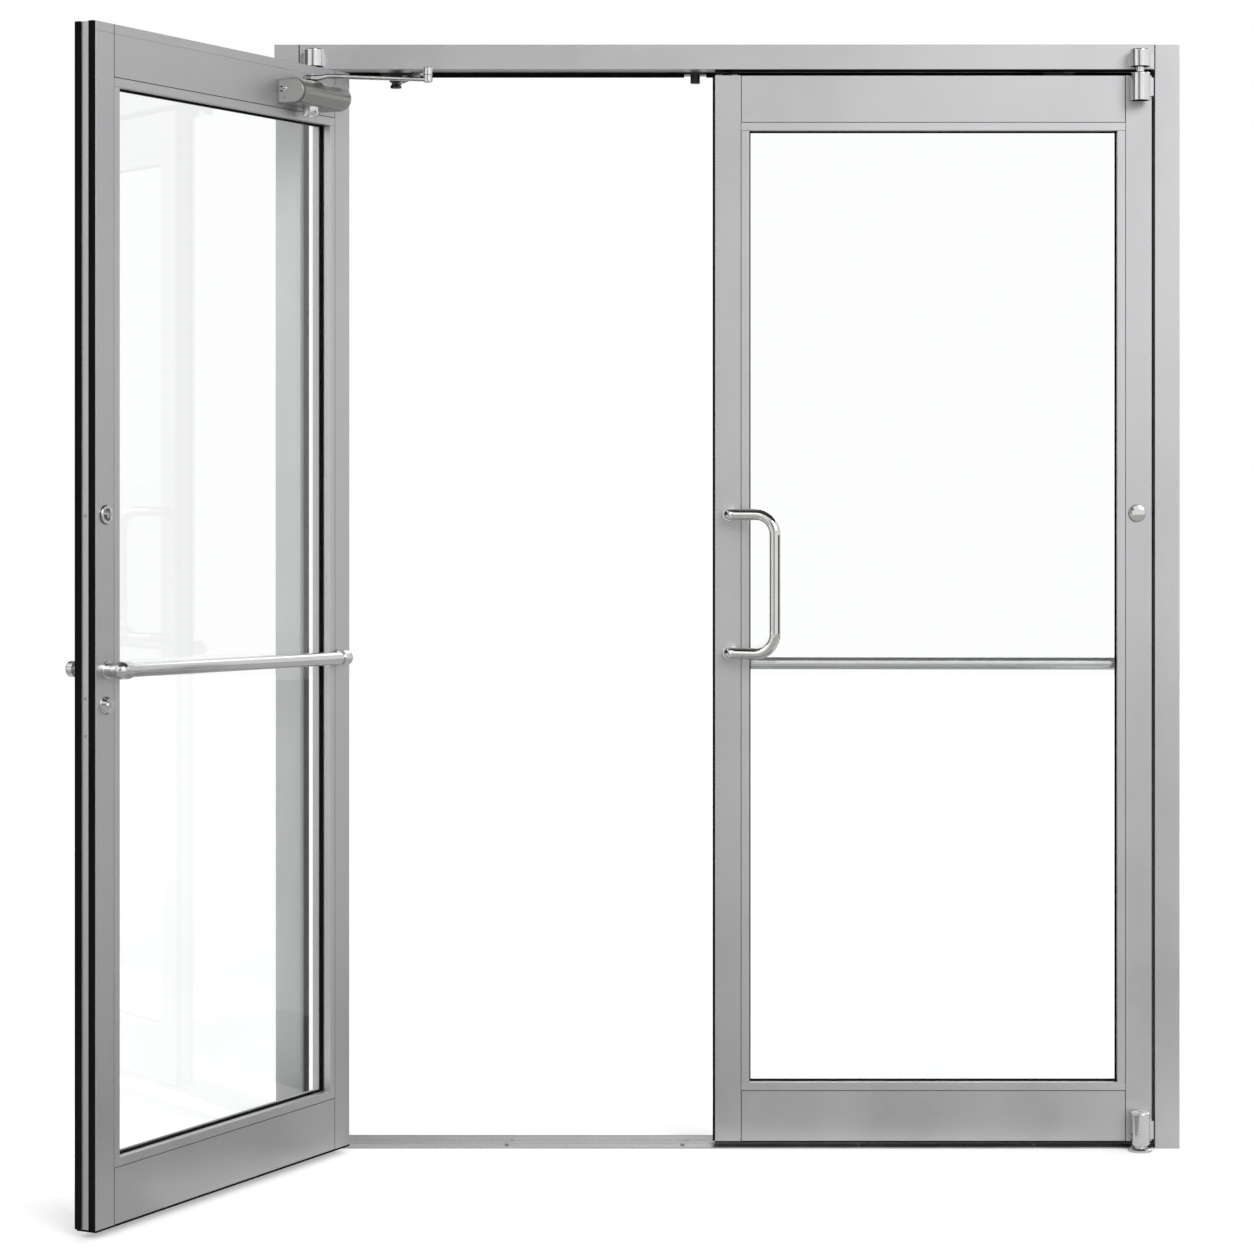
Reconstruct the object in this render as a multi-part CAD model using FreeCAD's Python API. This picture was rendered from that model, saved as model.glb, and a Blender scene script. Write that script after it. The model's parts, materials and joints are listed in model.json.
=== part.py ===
"""Storefront door: a pair of glazed aluminium leaves on offset pivots, in a header-and-jamb frame.

Millimetres, +Z up, +X to the right seen from outside, -Y to the outside.
The origin is on the underside of the threshold, midway between the jambs and midway through the frame.
Each leaf is drawn closed on the right-hand side; the left one is mirrored and swung open about its pivot.
"""

import FreeCAD, Part
import math
import os

Vector = FreeCAD.Vector
UP = Vector(0, 0, 1)
ALONG_X = Vector(1, 0, 0)
ALONG_Y = Vector(0, 1, 0)
TOUCHING = 1e-6

# Frame
FRAME_WIDTH = 1791.0
FRAME_HEIGHT = 2184.0
FRAME_DEPTH = 114.3
FRAME_FACE = 49.0
FRAME_WALL = 3.2
FRAME_EASE = 1.0

# Threshold
THRESHOLD_HEIGHT = 6.35
THRESHOLD_LIP = 2.4
THRESHOLD_BEVEL = 14.0
THRESHOLD_FLUTES = 7
FLUTE_WIDTH = 4.0
FLUTE_DEPTH = 1.3

# Leaves
RIGHT_LEAF_WIDTH = 864.0
LEAF_THICKNESS = 44.45
LEAF_WALL = 3.2
LEAF_EASE = 1.0
STILE_WIDTH = 52.0
TOP_RAIL_HEIGHT = 93.0
BOTTOM_RAIL_HEIGHT = 100.0
JAMB_GAP = 6.3
HEAD_GAP = 12.0
SILL_GAP = 15.0
MEETING_CLEARANCE = 6.5
OPEN_ANGLE = 116.35

# Interior groove below the top edge of each leaf
GROOVE_DROP = 17.0
GROOVE_WIDTH = 1.4
GROOVE_DEPTH = 1.0

# Glazing
GLASS_THICKNESS = 6.0
GLASS_BITE = 12.0
BEAD_WIDTH = 16.0
BEAD_EASE = 0.7
BEAD_SEAM = 0.3
GASKET_LIP = 2.5
GASKET_THICKNESS = 3.2

# Seals
SEAL_WIDTH = 11.5
SEAL_INSET = 1.6
SEAL_PROUD = 4.6
SEAL_EASE = 1.2
SWEEP_DROP = 3.5
SWEEP_INSET = 3.0
FRAME_SEAL_PROUD = 8.5
FRAME_SEAL_THICKNESS = 10.0
SWING_CLEARANCE = 5.0

# Offset pivots
PIVOT_SET_IN = 32.0
PIVOT_STAND_OFF = 22.25
KNUCKLE_RADIUS = 19.5
KNUCKLE_EASE = 2.5
LEAF_TOP_KNUCKLE_HEIGHT = 55.0
LEAF_TOP_KNUCKLE_RISE = 3.0
FRAME_KNUCKLE_HEIGHT = 34.0
FRAME_KNUCKLE_RISE = 3.0
LEAF_FOOT_KNUCKLE_HEIGHT = 62.0
PIVOT_PIN_RADIUS = 8.0
PIVOT_PIN_ENGAGEMENT = 28.0
PIVOT_RUNNING_FIT = 0.05
PIVOT_PLATE_THICKNESS = 3.0
PIVOT_PLATE_BELOW_KNUCKLE = 5.5
PIVOT_PLATE_CORNER = 5.0
PIVOT_WEB_THICKNESS = 15.0
EDGE_PLATE_REACH = 30.0
EDGE_PLATE_HEIGHT = 36.0
EDGE_PLATE_INSET = 5.0
EDGE_ARM_THICKNESS = 6.0
FLOOR_CUP_RADIUS = 23.5
FLOOR_CUP_RIM = 4.5
FLOOR_CUP_SHOULDER = 21.5
FLOOR_CUP_HEIGHT = 6.5
FLOOR_NECK_RADIUS = 12.5
FLOOR_NECK_LOW = 8.5
FLOOR_NECK_HIGH = 10.8
THRUST_RING_RADIUS = 17.5
THRUST_RING_THICKNESS = 2.0
FLOOR_ARM_HEIGHT = 5.0
THRUST_GAP = 0.3
SCREW_RECESS_RADIUS = 4.0
SCREW_RECESS_DEPTH = 6.0

# Push bars on the inside, each with its height at the free end and at the hinge end
RIGHT_PUSH_BAR_HEIGHTS = (956.5, 956.5)
LEFT_PUSH_BAR_HEIGHTS = (990.0, 975.0)
PUSH_BAR_RADIUS = 12.7
FREE_STAND_OFF = 32.0
HINGE_STAND_OFF = 16.8
FREE_POST_INSET = 32.0
HINGE_POST_INSET = 42.0
POST_ROSE_RADIUS = 16.0
POST_ROSE_THICKNESS = 3.5
POST_NECK_RADIUS = 12.5
POST_NECK_SHARE = 0.45
POST_ELBOW_RADIUS = 15.75
POST_COLLAR_LENGTH = 20.0
POST_COLLAR_EASE = 3.0
BAR_END_IN_COLLAR = 8.0
COLLAR_FIT = 0.1

# The pull handle on the outside of the right leaf
PULL_TOP_Z = 1255.0
PULL_CENTRES = 273.0
PULL_RADIUS = 10.9
PULL_REACH = 90.0
PULL_PROJECTION = 68.0
PULL_STUB = 30.0
PULL_FOOT_BEND = 22.0
PULL_GRIP_BEND = 40.0
PULL_ROSE_RADIUS = 13.0
PULL_ROSE_THICKNESS = 3.0
PULL_ROSE_EASE = 0.5
PULL_SET_IN = 28.0

# The round pull on the outside of the left leaf, level with its push bar
KNOB_RADIUS = 14.4
KNOB_THICKNESS = 14.0
KNOB_PROJECTION = 37.0
KNOB_EASE = 3.0
KNOB_STEM_RADIUS = 9.0

# Lock cylinders
THUMB_TURN_Z = 1262.0
LOCK_BELOW_BAR = 62.0
OUTER_CYLINDER_Z = 1257.0
LOCK_RADIUS = 16.5
LOCK_SET_IN = 29.0
LOCK_RIM = 1.2
COLLAR_TIP_RADIUS = 12.5
COLLAR_PROUD = 8.5
PLUG_RADIUS = 8.5
PLUG_PROUD = 1.0
OUTER_RING_PROUD = 4.5
THUMB_RING_PROUD = 4.0
THUMB_RECESS_RADIUS = 11.5
THUMB_RECESS_DEPTH = 1.6
THUMB_HUB_RADIUS = 6.0
THUMB_HUB_PROUD = 6.0
THUMB_LEVER_LENGTH = 19.0
THUMB_LEVER_THICKNESS = 3.6
THUMB_LEVER_PROUD = 10.5
LOCK_EASE = 1.5

# Door closers on the inside
CLOSER_CENTRE_BELOW_TOP = 62.0
CLOSER_HEIGHT = 48.0
CLOSER_PROJECTION = 60.0
CLOSER_NEAR_END = 52.0
CLOSER_LENGTH = 168.0
CLOSER_NOSE = 11.0
CLOSER_CAP_THICKNESS = 4.0
CLOSER_CAP_STEP = 1.5
SPINDLE_FROM_PIVOT = 148.5
SPINDLE_STAND_OFF = 25.5
SPINDLE_RADIUS = 8.0
SPINDLE_DEPTH = 30.0
SPINDLE_FIT = 0.1
SPINDLE_BOSS_RADIUS = 13.5
SPINDLE_BOSS_HEIGHT = 13.0
MAIN_ARM_LENGTH = 227.4
FOREARM_SHORTER = 4.0
ARM_THICKNESS = 6.0
ARM_HUB_RADIUS = 13.0
ARM_HUB_EASE = 5.0
ARM_HUB_GAP = 2.0
ARM_ROOT_WIDTH = 20.0
ARM_TIP_WIDTH = 13.0
ELBOW_RADIUS = 9.0
ELBOW_GAP = 0.4
ELBOW_HANG = 4.5
ELBOW_RISE = 1.5
MAIN_ARM_TOP_BELOW_SOFFIT = 34.0
FOREARM_TOP_BELOW_SOFFIT = 16.5
FOREARM_WIDTH = 13.0
FOREARM_TUBE_RADIUS = 5.5
FOREARM_TUBE_SHARE = 0.5
SHOE_FROM_PIVOT = 152.0
SHOE_Y = 15.3
SHOE_LENGTH = 64.0
SHOE_WIDTH = 30.0
SHOE_PLATE_THICKNESS = 5.0
SHOE_BOSS_RADIUS = 13.0
SHOE_PIN_RADIUS = 5.0
SHOE_NUT_RADIUS = 11.0
SHOE_NUT_HEIGHT = 5.5
ARM_FACE_GAP = 0.5

# Header stops that the leaves close against
STOP_RADIUS = 9.5
STOP_DROP = 21.0
STOP_PLATE_THICKNESS = 4.0
STOP_PLATE_LENGTH = 44.0
STOP_FROM_EDGE = 24.0

# Derived places
HALF_WIDTH = FRAME_WIDTH / 2
JAMB_INNER = HALF_WIDTH - FRAME_FACE
SOFFIT_Z = FRAME_HEIGHT - FRAME_FACE
FRAME_FRONT = -FRAME_DEPTH / 2
FRAME_BACK = FRAME_DEPTH / 2
HINGE_EDGE = JAMB_INNER - JAMB_GAP
LEAF_FRONT = FRAME_FRONT
LEAF_BACK = LEAF_FRONT + LEAF_THICKNESS
LEAF_BOTTOM = SILL_GAP
LEAF_TOP = SOFFIT_Z - HEAD_GAP
MEETING_GAP = 2 * SEAL_PROUD + MEETING_CLEARANCE
LEFT_LEAF_WIDTH = 2 * HINGE_EDGE - MEETING_GAP - RIGHT_LEAF_WIDTH
PIVOT_X = JAMB_INNER - PIVOT_SET_IN
PIVOT_Y = LEAF_FRONT - PIVOT_STAND_OFF
HINGE_CORNER_REACH = math.hypot(HINGE_EDGE - PIVOT_X, LEAF_BACK - PIVOT_Y)
FRAME_SEAL_FRONT = PIVOT_Y + HINGE_CORNER_REACH + SWING_CLEARANCE
CLOSER_Z = LEAF_TOP - CLOSER_CENTRE_BELOW_TOP
FOREARM_LENGTH = MAIN_ARM_LENGTH - FOREARM_SHORTER
MAIN_ARM_TOP = SOFFIT_Z - MAIN_ARM_TOP_BELOW_SOFFIT
FOREARM_TOP = SOFFIT_Z - FOREARM_TOP_BELOW_SOFFIT
ELBOW_SPLIT = (MAIN_ARM_TOP + FOREARM_TOP - ARM_THICKNESS) / 2


def box(x0, x1, y0, y1, z0, z1):
    return Part.makeBox(x1 - x0, y1 - y0, z1 - z0, Vector(x0, y0, z0))


def disc(centre, radius, length, axis):
    return Part.makeCylinder(radius, length, centre, axis)


def runs_along(edge, axis):
    start = edge.Vertexes[0].Point
    end = edge.Vertexes[-1].Point
    run = end - start
    return run.Length > TOUCHING and run.cross(axis).Length < TOUCHING


def eased_bar(x0, x1, y0, y1, z0, z1, radius, axis):
    """A bar whose four long edges are rounded."""
    bar = box(x0, x1, y0, y1, z0, z1)
    return bar.makeFillet(radius, [edge for edge in bar.Edges if runs_along(edge, axis)])


def hollow_bar(x0, x1, y0, y1, z0, z1, radius, wall, axis):
    """An open-ended extruded tube of rectangular section, cut square at both ends."""
    through = wall
    inside = [
        (x0 + wall, x1 - wall) if axis != ALONG_X else (x0 - through, x1 + through),
        (y0 + wall, y1 - wall),
        (z0 + wall, z1 - wall) if axis != UP else (z0 - through, z1 + through),
    ]
    hollow = box(*inside[0], *inside[1], *inside[2])
    return eased_bar(x0, x1, y0, y1, z0, z1, radius, axis).cut(hollow)


def rounded_disc(centre, radius, length, axis, ease):
    """A disc standing on its centre, with the rim of its far face rounded."""
    plain = disc(centre, radius, length, axis)
    far = centre + axis * length
    rim = [
        edge
        for edge in plain.Edges
        if len(edge.Vertexes) == 1 and abs((edge.CenterOfMass - far).dot(axis)) < TOUCHING
    ]
    return plain.makeFillet(ease, rim)


def one_solid(shape):
    """The single solid left after joining or cutting, with its seams merged."""
    return shape.removeSplitter().Solids[0]


def from_hinge(distance):
    """X of a point on the closed right leaf, by its distance from the hinge edge."""
    return HINGE_EDGE - distance


def mirrored(shape):
    return shape.mirror(Vector(0, 0, 0), ALONG_X)


def turned(point, angle):
    """A point given from the pivot, turned about the vertical by an angle in degrees."""
    turn = math.radians(angle)
    x = point.x * math.cos(turn) - point.y * math.sin(turn)
    y = point.x * math.sin(turn) + point.y * math.cos(turn)
    return Vector(x, y, point.z)


# Frame pieces


def jamb():
    return hollow_bar(
        JAMB_INNER, HALF_WIDTH, FRAME_FRONT, FRAME_BACK, 0, FRAME_HEIGHT, FRAME_EASE, FRAME_WALL, UP
    )


def header():
    return hollow_bar(
        -JAMB_INNER,
        JAMB_INNER,
        FRAME_FRONT,
        FRAME_BACK,
        SOFFIT_Z,
        FRAME_HEIGHT,
        FRAME_EASE,
        FRAME_WALL,
        ALONG_X,
    )


def threshold():
    """A low saddle with bevelled edges and flutes along its top."""
    outline = [
        (FRAME_FRONT, 0),
        (FRAME_BACK, 0),
        (FRAME_BACK, THRESHOLD_LIP),
        (FRAME_BACK - THRESHOLD_BEVEL, THRESHOLD_HEIGHT),
        (FRAME_FRONT + THRESHOLD_BEVEL, THRESHOLD_HEIGHT),
        (FRAME_FRONT, THRESHOLD_LIP),
    ]
    points = [Vector(-JAMB_INNER, y, z) for y, z in outline]
    section = Part.Face(Part.makePolygon(points + points[:1]))
    saddle = section.extrude(ALONG_X * 2 * JAMB_INNER)
    flat = FRAME_DEPTH - 2 * THRESHOLD_BEVEL
    pitch = flat / THRESHOLD_FLUTES
    for index in range(THRESHOLD_FLUTES):
        middle = -flat / 2 + (index + 0.5) * pitch
        flute = box(
            -JAMB_INNER,
            JAMB_INNER,
            middle - FLUTE_WIDTH / 2,
            middle + FLUTE_WIDTH / 2,
            THRESHOLD_HEIGHT - FLUTE_DEPTH,
            THRESHOLD_HEIGHT,
        )
        saddle = saddle.cut(flute)
    return one_solid(saddle)


def frame_seals():
    """Black strips on the jambs and the header, just behind the path of the leaves."""
    back = FRAME_SEAL_FRONT + FRAME_SEAL_THICKNESS
    head = eased_bar(
        -JAMB_INNER,
        JAMB_INNER,
        FRAME_SEAL_FRONT,
        back,
        SOFFIT_Z - FRAME_SEAL_PROUD,
        SOFFIT_Z,
        SEAL_EASE,
        ALONG_X,
    )
    for shoe in (shoe_centre(1), shoe_centre(-1)):
        half = SHOE_LENGTH / 2
        head = head.cut(box(shoe.x - half, shoe.x + half, FRAME_SEAL_FRONT, back, 0, FRAME_HEIGHT))
    for stop in stop_centres():
        half = STOP_PLATE_LENGTH / 2
        head = head.cut(box(stop.x - half, stop.x + half, FRAME_SEAL_FRONT, back, 0, FRAME_HEIGHT))
    side = eased_bar(
        JAMB_INNER - FRAME_SEAL_PROUD,
        JAMB_INNER,
        FRAME_SEAL_FRONT,
        back,
        THRESHOLD_HEIGHT,
        SOFFIT_Z - FRAME_SEAL_PROUD,
        SEAL_EASE,
        UP,
    )
    return Part.makeCompound(head.Solids + [side, mirrored(side)])


def stop_centres():
    """Where the header stops hang, a little in from each leaf's free edge."""
    y = LEAF_BACK + SWING_CLEARANCE + STOP_RADIUS
    right_edge = HINGE_EDGE - RIGHT_LEAF_WIDTH
    left_edge = right_edge - MEETING_GAP
    return [
        Vector(left_edge - STOP_FROM_EDGE, y, SOFFIT_Z),
        Vector(right_edge + STOP_FROM_EDGE, y, SOFFIT_Z),
    ]


def header_stops():
    stops = []
    for centre in stop_centres():
        half = STOP_PLATE_LENGTH / 2
        plate = box(
            centre.x - half,
            centre.x + half,
            centre.y - STOP_RADIUS,
            centre.y + STOP_RADIUS,
            SOFFIT_Z - STOP_PLATE_THICKNESS,
            SOFFIT_Z,
        )
        buffer = rounded_disc(centre, STOP_RADIUS, STOP_DROP, -UP, SEAL_EASE)
        stops.append(one_solid(plate.fuse(buffer)))
    return Part.makeCompound(stops)


def top_frame_pivot():
    """The upper knuckle on the header, with its plate and the pin that hangs from it."""
    bottom = SOFFIT_Z + FRAME_KNUCKLE_RISE
    top = bottom + FRAME_KNUCKLE_HEIGHT
    centre = Vector(PIVOT_X, PIVOT_Y, bottom)
    knuckle = rounded_disc(centre, KNUCKLE_RADIUS, FRAME_KNUCKLE_HEIGHT, UP, KNUCKLE_EASE)
    plate = eased_bar(
        PIVOT_X - KNUCKLE_RADIUS,
        JAMB_INNER - PIVOT_PLATE_THICKNESS,
        FRAME_FRONT - PIVOT_PLATE_THICKNESS,
        FRAME_FRONT,
        bottom,
        top - PIVOT_PLATE_BELOW_KNUCKLE,
        PIVOT_PLATE_CORNER,
        ALONG_Y,
    )
    web = box(
        PIVOT_X - PIVOT_WEB_THICKNESS / 2,
        PIVOT_X + PIVOT_WEB_THICKNESS / 2,
        PIVOT_Y,
        FRAME_FRONT,
        bottom,
        top - KNUCKLE_EASE,
    )
    leaf_knuckle_top = LEAF_TOP + LEAF_TOP_KNUCKLE_RISE
    tip = leaf_knuckle_top - PIVOT_PIN_ENGAGEMENT
    pin = disc(Vector(PIVOT_X, PIVOT_Y, tip), PIVOT_PIN_RADIUS, bottom - tip, UP)
    return one_solid(knuckle.fuse([plate, web, pin]))


def floor_pivot():
    """The spool-shaped floor cup with its thrust ring and spigot, cut flush with the threshold."""
    ring_top = LEAF_BOTTOM - THRUST_GAP
    outline = [
        (0, 0),
        (FLOOR_CUP_RADIUS, 0),
        (FLOOR_CUP_RADIUS, FLOOR_CUP_RIM),
        (FLOOR_CUP_SHOULDER, FLOOR_CUP_HEIGHT),
        (FLOOR_NECK_RADIUS, FLOOR_NECK_LOW),
        (FLOOR_NECK_RADIUS, FLOOR_NECK_HIGH),
        (THRUST_RING_RADIUS, ring_top - THRUST_RING_THICKNESS),
        (THRUST_RING_RADIUS, ring_top),
        (PIVOT_PIN_RADIUS, ring_top),
        (PIVOT_PIN_RADIUS, LEAF_BOTTOM + PIVOT_PIN_ENGAGEMENT),
        (0, LEAF_BOTTOM + PIVOT_PIN_ENGAGEMENT),
    ]
    points = [Vector(PIVOT_X + radius, PIVOT_Y, z) for radius, z in outline]
    section = Part.Face(Part.makePolygon(points + points[:1]))
    spool = section.revolve(Vector(PIVOT_X, PIVOT_Y, 0), UP, 360)
    arm = box(
        PIVOT_X - KNUCKLE_RADIUS,
        PIVOT_X + KNUCKLE_RADIUS,
        PIVOT_Y,
        FRAME_FRONT,
        0,
        FLOOR_ARM_HEIGHT,
    )
    behind = box(0, HALF_WIDTH, FRAME_FRONT, FRAME_BACK, 0, LEAF_BOTTOM)
    return one_solid(spool.fuse(arm).cut(behind))


# Leaf pieces, drawn closed on the right


def stile(near, far):
    """A full-height stile between two distances from the hinge edge."""
    tube = hollow_bar(
        from_hinge(far),
        from_hinge(near),
        LEAF_FRONT,
        LEAF_BACK,
        LEAF_BOTTOM,
        LEAF_TOP,
        LEAF_EASE,
        LEAF_WALL,
        UP,
    )
    return one_solid(tube.cut(top_groove()))


def top_groove():
    """The shallow line that runs across the inside face near the top."""
    middle = LEAF_TOP - GROOVE_DROP
    return box(
        -HALF_WIDTH,
        HALF_WIDTH,
        LEAF_BACK - GROOVE_DEPTH,
        LEAF_BACK,
        middle - GROOVE_WIDTH / 2,
        middle + GROOVE_WIDTH / 2,
    )


def rail(width, z0, z1):
    tube = hollow_bar(
        from_hinge(width - STILE_WIDTH),
        from_hinge(STILE_WIDTH),
        LEAF_FRONT,
        LEAF_BACK,
        z0,
        z1,
        LEAF_EASE,
        LEAF_WALL,
        ALONG_X,
    )
    return one_solid(tube.cut(top_groove()))


def daylight(width, margin):
    """The glazed rectangle of a leaf, grown or shrunk by a margin: x0, x1, z0, z1."""
    return (
        from_hinge(width - STILE_WIDTH) - margin,
        from_hinge(STILE_WIDTH) + margin,
        LEAF_BOTTOM + BOTTOM_RAIL_HEIGHT - margin,
        LEAF_TOP - TOP_RAIL_HEIGHT + margin,
    )


def bead_depth():
    return (LEAF_THICKNESS - GLASS_THICKNESS) / 2 - GASKET_THICKNESS


def glazing_beads(width):
    """Four beads on each face of the glass, with the upright ones between the level ones."""
    x0, x1, z0, z1 = daylight(width, 0)
    depth = bead_depth()
    beads = []
    for y0 in (LEAF_FRONT, LEAF_BACK - depth):
        y1 = y0 + depth
        for bottom in (z0, z1 - BEAD_WIDTH):
            beads.append(
                eased_bar(x0, x1, y0, y1, bottom, bottom + BEAD_WIDTH, BEAD_EASE, ALONG_X)
            )
        low = z0 + BEAD_WIDTH + BEAD_SEAM
        high = z1 - BEAD_WIDTH - BEAD_SEAM
        for side in (x0, x1 - BEAD_WIDTH):
            beads.append(eased_bar(side, side + BEAD_WIDTH, y0, y1, low, high, BEAD_EASE, UP))
    return Part.makeCompound(beads)


def glass(width):
    x0, x1, z0, z1 = daylight(width, GLASS_BITE - BEAD_WIDTH)
    middle = (LEAF_FRONT + LEAF_BACK) / 2
    half = GLASS_THICKNESS / 2
    return box(x0, x1, middle - half, middle + half, z0, z1)


def glazing_gaskets(width):
    """A black ring on each face of the glass, held by the beads and showing a narrow lip."""
    outer = daylight(width, 0)
    inner = daylight(width, -BEAD_WIDTH - GASKET_LIP)
    rings = []
    for y0 in (LEAF_FRONT + bead_depth(), LEAF_BACK - bead_depth() - GASKET_THICKNESS):
        y1 = y0 + GASKET_THICKNESS
        ring = box(outer[0], outer[1], y0, y1, outer[2], outer[3])
        hole = box(inner[0], inner[1], y0, y1, inner[2], inner[3])
        rings.append(ring.cut(hole).Solids[0])
    return Part.makeCompound(rings)


def meeting_seals(width):
    """Two black strips down the free edge, one near each face."""
    strips = []
    for y0 in (LEAF_FRONT + SEAL_INSET, LEAF_BACK - SEAL_INSET - SEAL_WIDTH):
        strips.append(
            eased_bar(
                from_hinge(width + SEAL_PROUD),
                from_hinge(width),
                y0,
                y0 + SEAL_WIDTH,
                LEAF_BOTTOM,
                LEAF_TOP,
                SEAL_EASE,
                UP,
            )
        )
    return Part.makeCompound(strips)


def bottom_sweep(width):
    return box(
        from_hinge(width),
        from_hinge(0),
        LEAF_FRONT + SWEEP_INSET,
        LEAF_BACK,
        LEAF_BOTTOM - SWEEP_DROP,
        LEAF_BOTTOM,
    )


def push_bar_corners(width, heights):
    """Where the bar's line meets its free-end and its hinge-end elbow."""
    free_height, hinge_height = heights
    return (
        Vector(from_hinge(width - FREE_POST_INSET), LEAF_BACK + FREE_STAND_OFF, free_height),
        Vector(from_hinge(HINGE_POST_INSET), LEAF_BACK + HINGE_STAND_OFF, hinge_height),
    )


def push_bar(width, heights):
    """A straight bar that comes closer to the leaf towards the hinges."""
    free, hinge = push_bar_corners(width, heights)
    run = (hinge - free).normalize()
    start = free + run * BAR_END_IN_COLLAR
    return disc(start, PUSH_BAR_RADIUS, free.distanceToPoint(hinge) - 2 * BAR_END_IN_COLLAR, run)


def push_bar_elbow(corner, run):
    """A rose, a neck that swells into an elbow, and the collar that holds the bar's end."""
    stand_off = corner.y - LEAF_BACK
    foot = Vector(corner.x, LEAF_BACK, corner.z)
    rose = rounded_disc(foot, POST_ROSE_RADIUS, POST_ROSE_THICKNESS, ALONG_Y, LOCK_EASE)
    straight = stand_off * POST_NECK_SHARE
    neck = disc(foot, POST_NECK_RADIUS, straight, ALONG_Y)
    swell = Part.makeCone(
        POST_NECK_RADIUS, POST_ELBOW_RADIUS, stand_off - straight, foot + ALONG_Y * straight, ALONG_Y
    )
    elbow = Part.makeSphere(POST_ELBOW_RADIUS, corner)
    collar = rounded_disc(corner, POST_ELBOW_RADIUS, POST_COLLAR_LENGTH, run, POST_COLLAR_EASE)
    bore = disc(
        corner + run * BAR_END_IN_COLLAR, PUSH_BAR_RADIUS + COLLAR_FIT, POST_COLLAR_LENGTH, run
    )
    return one_solid(rose.fuse([neck, swell, elbow, collar]).cut(bore))


def push_bar_posts(width, heights):
    free, hinge = push_bar_corners(width, heights)
    run = (hinge - free).normalize()
    return Part.makeCompound([push_bar_elbow(free, run), push_bar_elbow(hinge, -run)])


def rounded_route(points, radii):
    """Straight runs joined by tangent arcs, as one wire."""
    edges = []
    at = points[0]
    for index, radius in enumerate(radii):
        corner = points[index + 1]
        to_last = (points[index] - corner).normalize()
        to_next = (points[index + 2] - corner).normalize()
        half = math.acos(to_last.dot(to_next)) / 2
        cut = radius / math.tan(half)
        enter = corner + to_last * cut
        leave = corner + to_next * cut
        bisector = (to_last + to_next).normalize()
        middle = corner + bisector * (radius / math.sin(half) - radius)
        edges.append(Part.LineSegment(at, enter).toShape())
        edges.append(Part.Arc(enter, middle, leave).toShape())
        at = leave
    edges.append(Part.LineSegment(at, points[-1]).toShape())
    return Part.Wire(edges)


def pull_knob(width, heights):
    """The round knob on its stem and rose, outside and level with the bar's free end."""
    foot = Vector(from_hinge(width - FREE_POST_INSET), LEAF_FRONT, heights[0])
    rose = rounded_disc(foot, POST_ROSE_RADIUS, POST_ROSE_THICKNESS, -ALONG_Y, LOCK_EASE)
    stem = disc(foot, KNOB_STEM_RADIUS, KNOB_PROJECTION, -ALONG_Y)
    head_foot = foot - ALONG_Y * (KNOB_PROJECTION - KNOB_THICKNESS)
    head = rounded_disc(head_foot, KNOB_RADIUS, KNOB_THICKNESS, -ALONG_Y, KNOB_EASE)
    return one_solid(rose.fuse([stem, head]))


def pull_bar(width):
    """A round bar bent out from the stile, across towards the glass, and down."""
    foot = from_hinge(width - PULL_SET_IN)
    grip_y = LEAF_FRONT - PULL_PROJECTION
    stub_y = LEAF_FRONT - PULL_STUB
    top = PULL_TOP_Z
    bottom = PULL_TOP_Z - PULL_CENTRES
    points = [
        Vector(foot, LEAF_FRONT, top),
        Vector(foot, stub_y, top),
        Vector(foot + PULL_REACH, grip_y, top),
        Vector(foot + PULL_REACH, grip_y, bottom),
        Vector(foot, stub_y, bottom),
        Vector(foot, LEAF_FRONT, bottom),
    ]
    route = rounded_route(
        points, [PULL_FOOT_BEND, PULL_GRIP_BEND, PULL_GRIP_BEND, PULL_FOOT_BEND]
    )
    section = Part.Wire([Part.Circle(points[0], -ALONG_Y, PULL_RADIUS).toShape()])
    return route.makePipeShell([section], True, False)


def pull_roses(width):
    """The washers that the feet of the pull pass through."""
    roses = []
    for z in (PULL_TOP_Z, PULL_TOP_Z - PULL_CENTRES):
        foot = Vector(from_hinge(width - PULL_SET_IN), LEAF_FRONT, z)
        rose = rounded_disc(
            foot, PULL_ROSE_RADIUS, PULL_ROSE_THICKNESS, -ALONG_Y, PULL_ROSE_EASE
        )
        bore = disc(foot, PULL_RADIUS + COLLAR_FIT, PULL_ROSE_THICKNESS, -ALONG_Y)
        roses.append(rose.cut(bore).Solids[0])
    return roses


def key_cylinder(foot, outward):
    """A collar that tapers off the stile, with its plug standing a little prouder."""
    rim = disc(foot, LOCK_RADIUS, LOCK_RIM, outward)
    collar = Part.makeCone(
        LOCK_RADIUS, COLLAR_TIP_RADIUS, COLLAR_PROUD - LOCK_RIM, foot + outward * LOCK_RIM, outward
    )
    plug = disc(foot, PLUG_RADIUS, COLLAR_PROUD + PLUG_PROUD, outward)
    return one_solid(rim.fuse([collar, plug]))


def outer_cylinder(foot, outward):
    """A flat ring with its plug."""
    ring = rounded_disc(foot, LOCK_RADIUS, OUTER_RING_PROUD, outward, LOCK_EASE)
    plug = disc(foot, PLUG_RADIUS, OUTER_RING_PROUD + PLUG_PROUD, outward)
    return one_solid(ring.fuse(plug))


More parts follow.
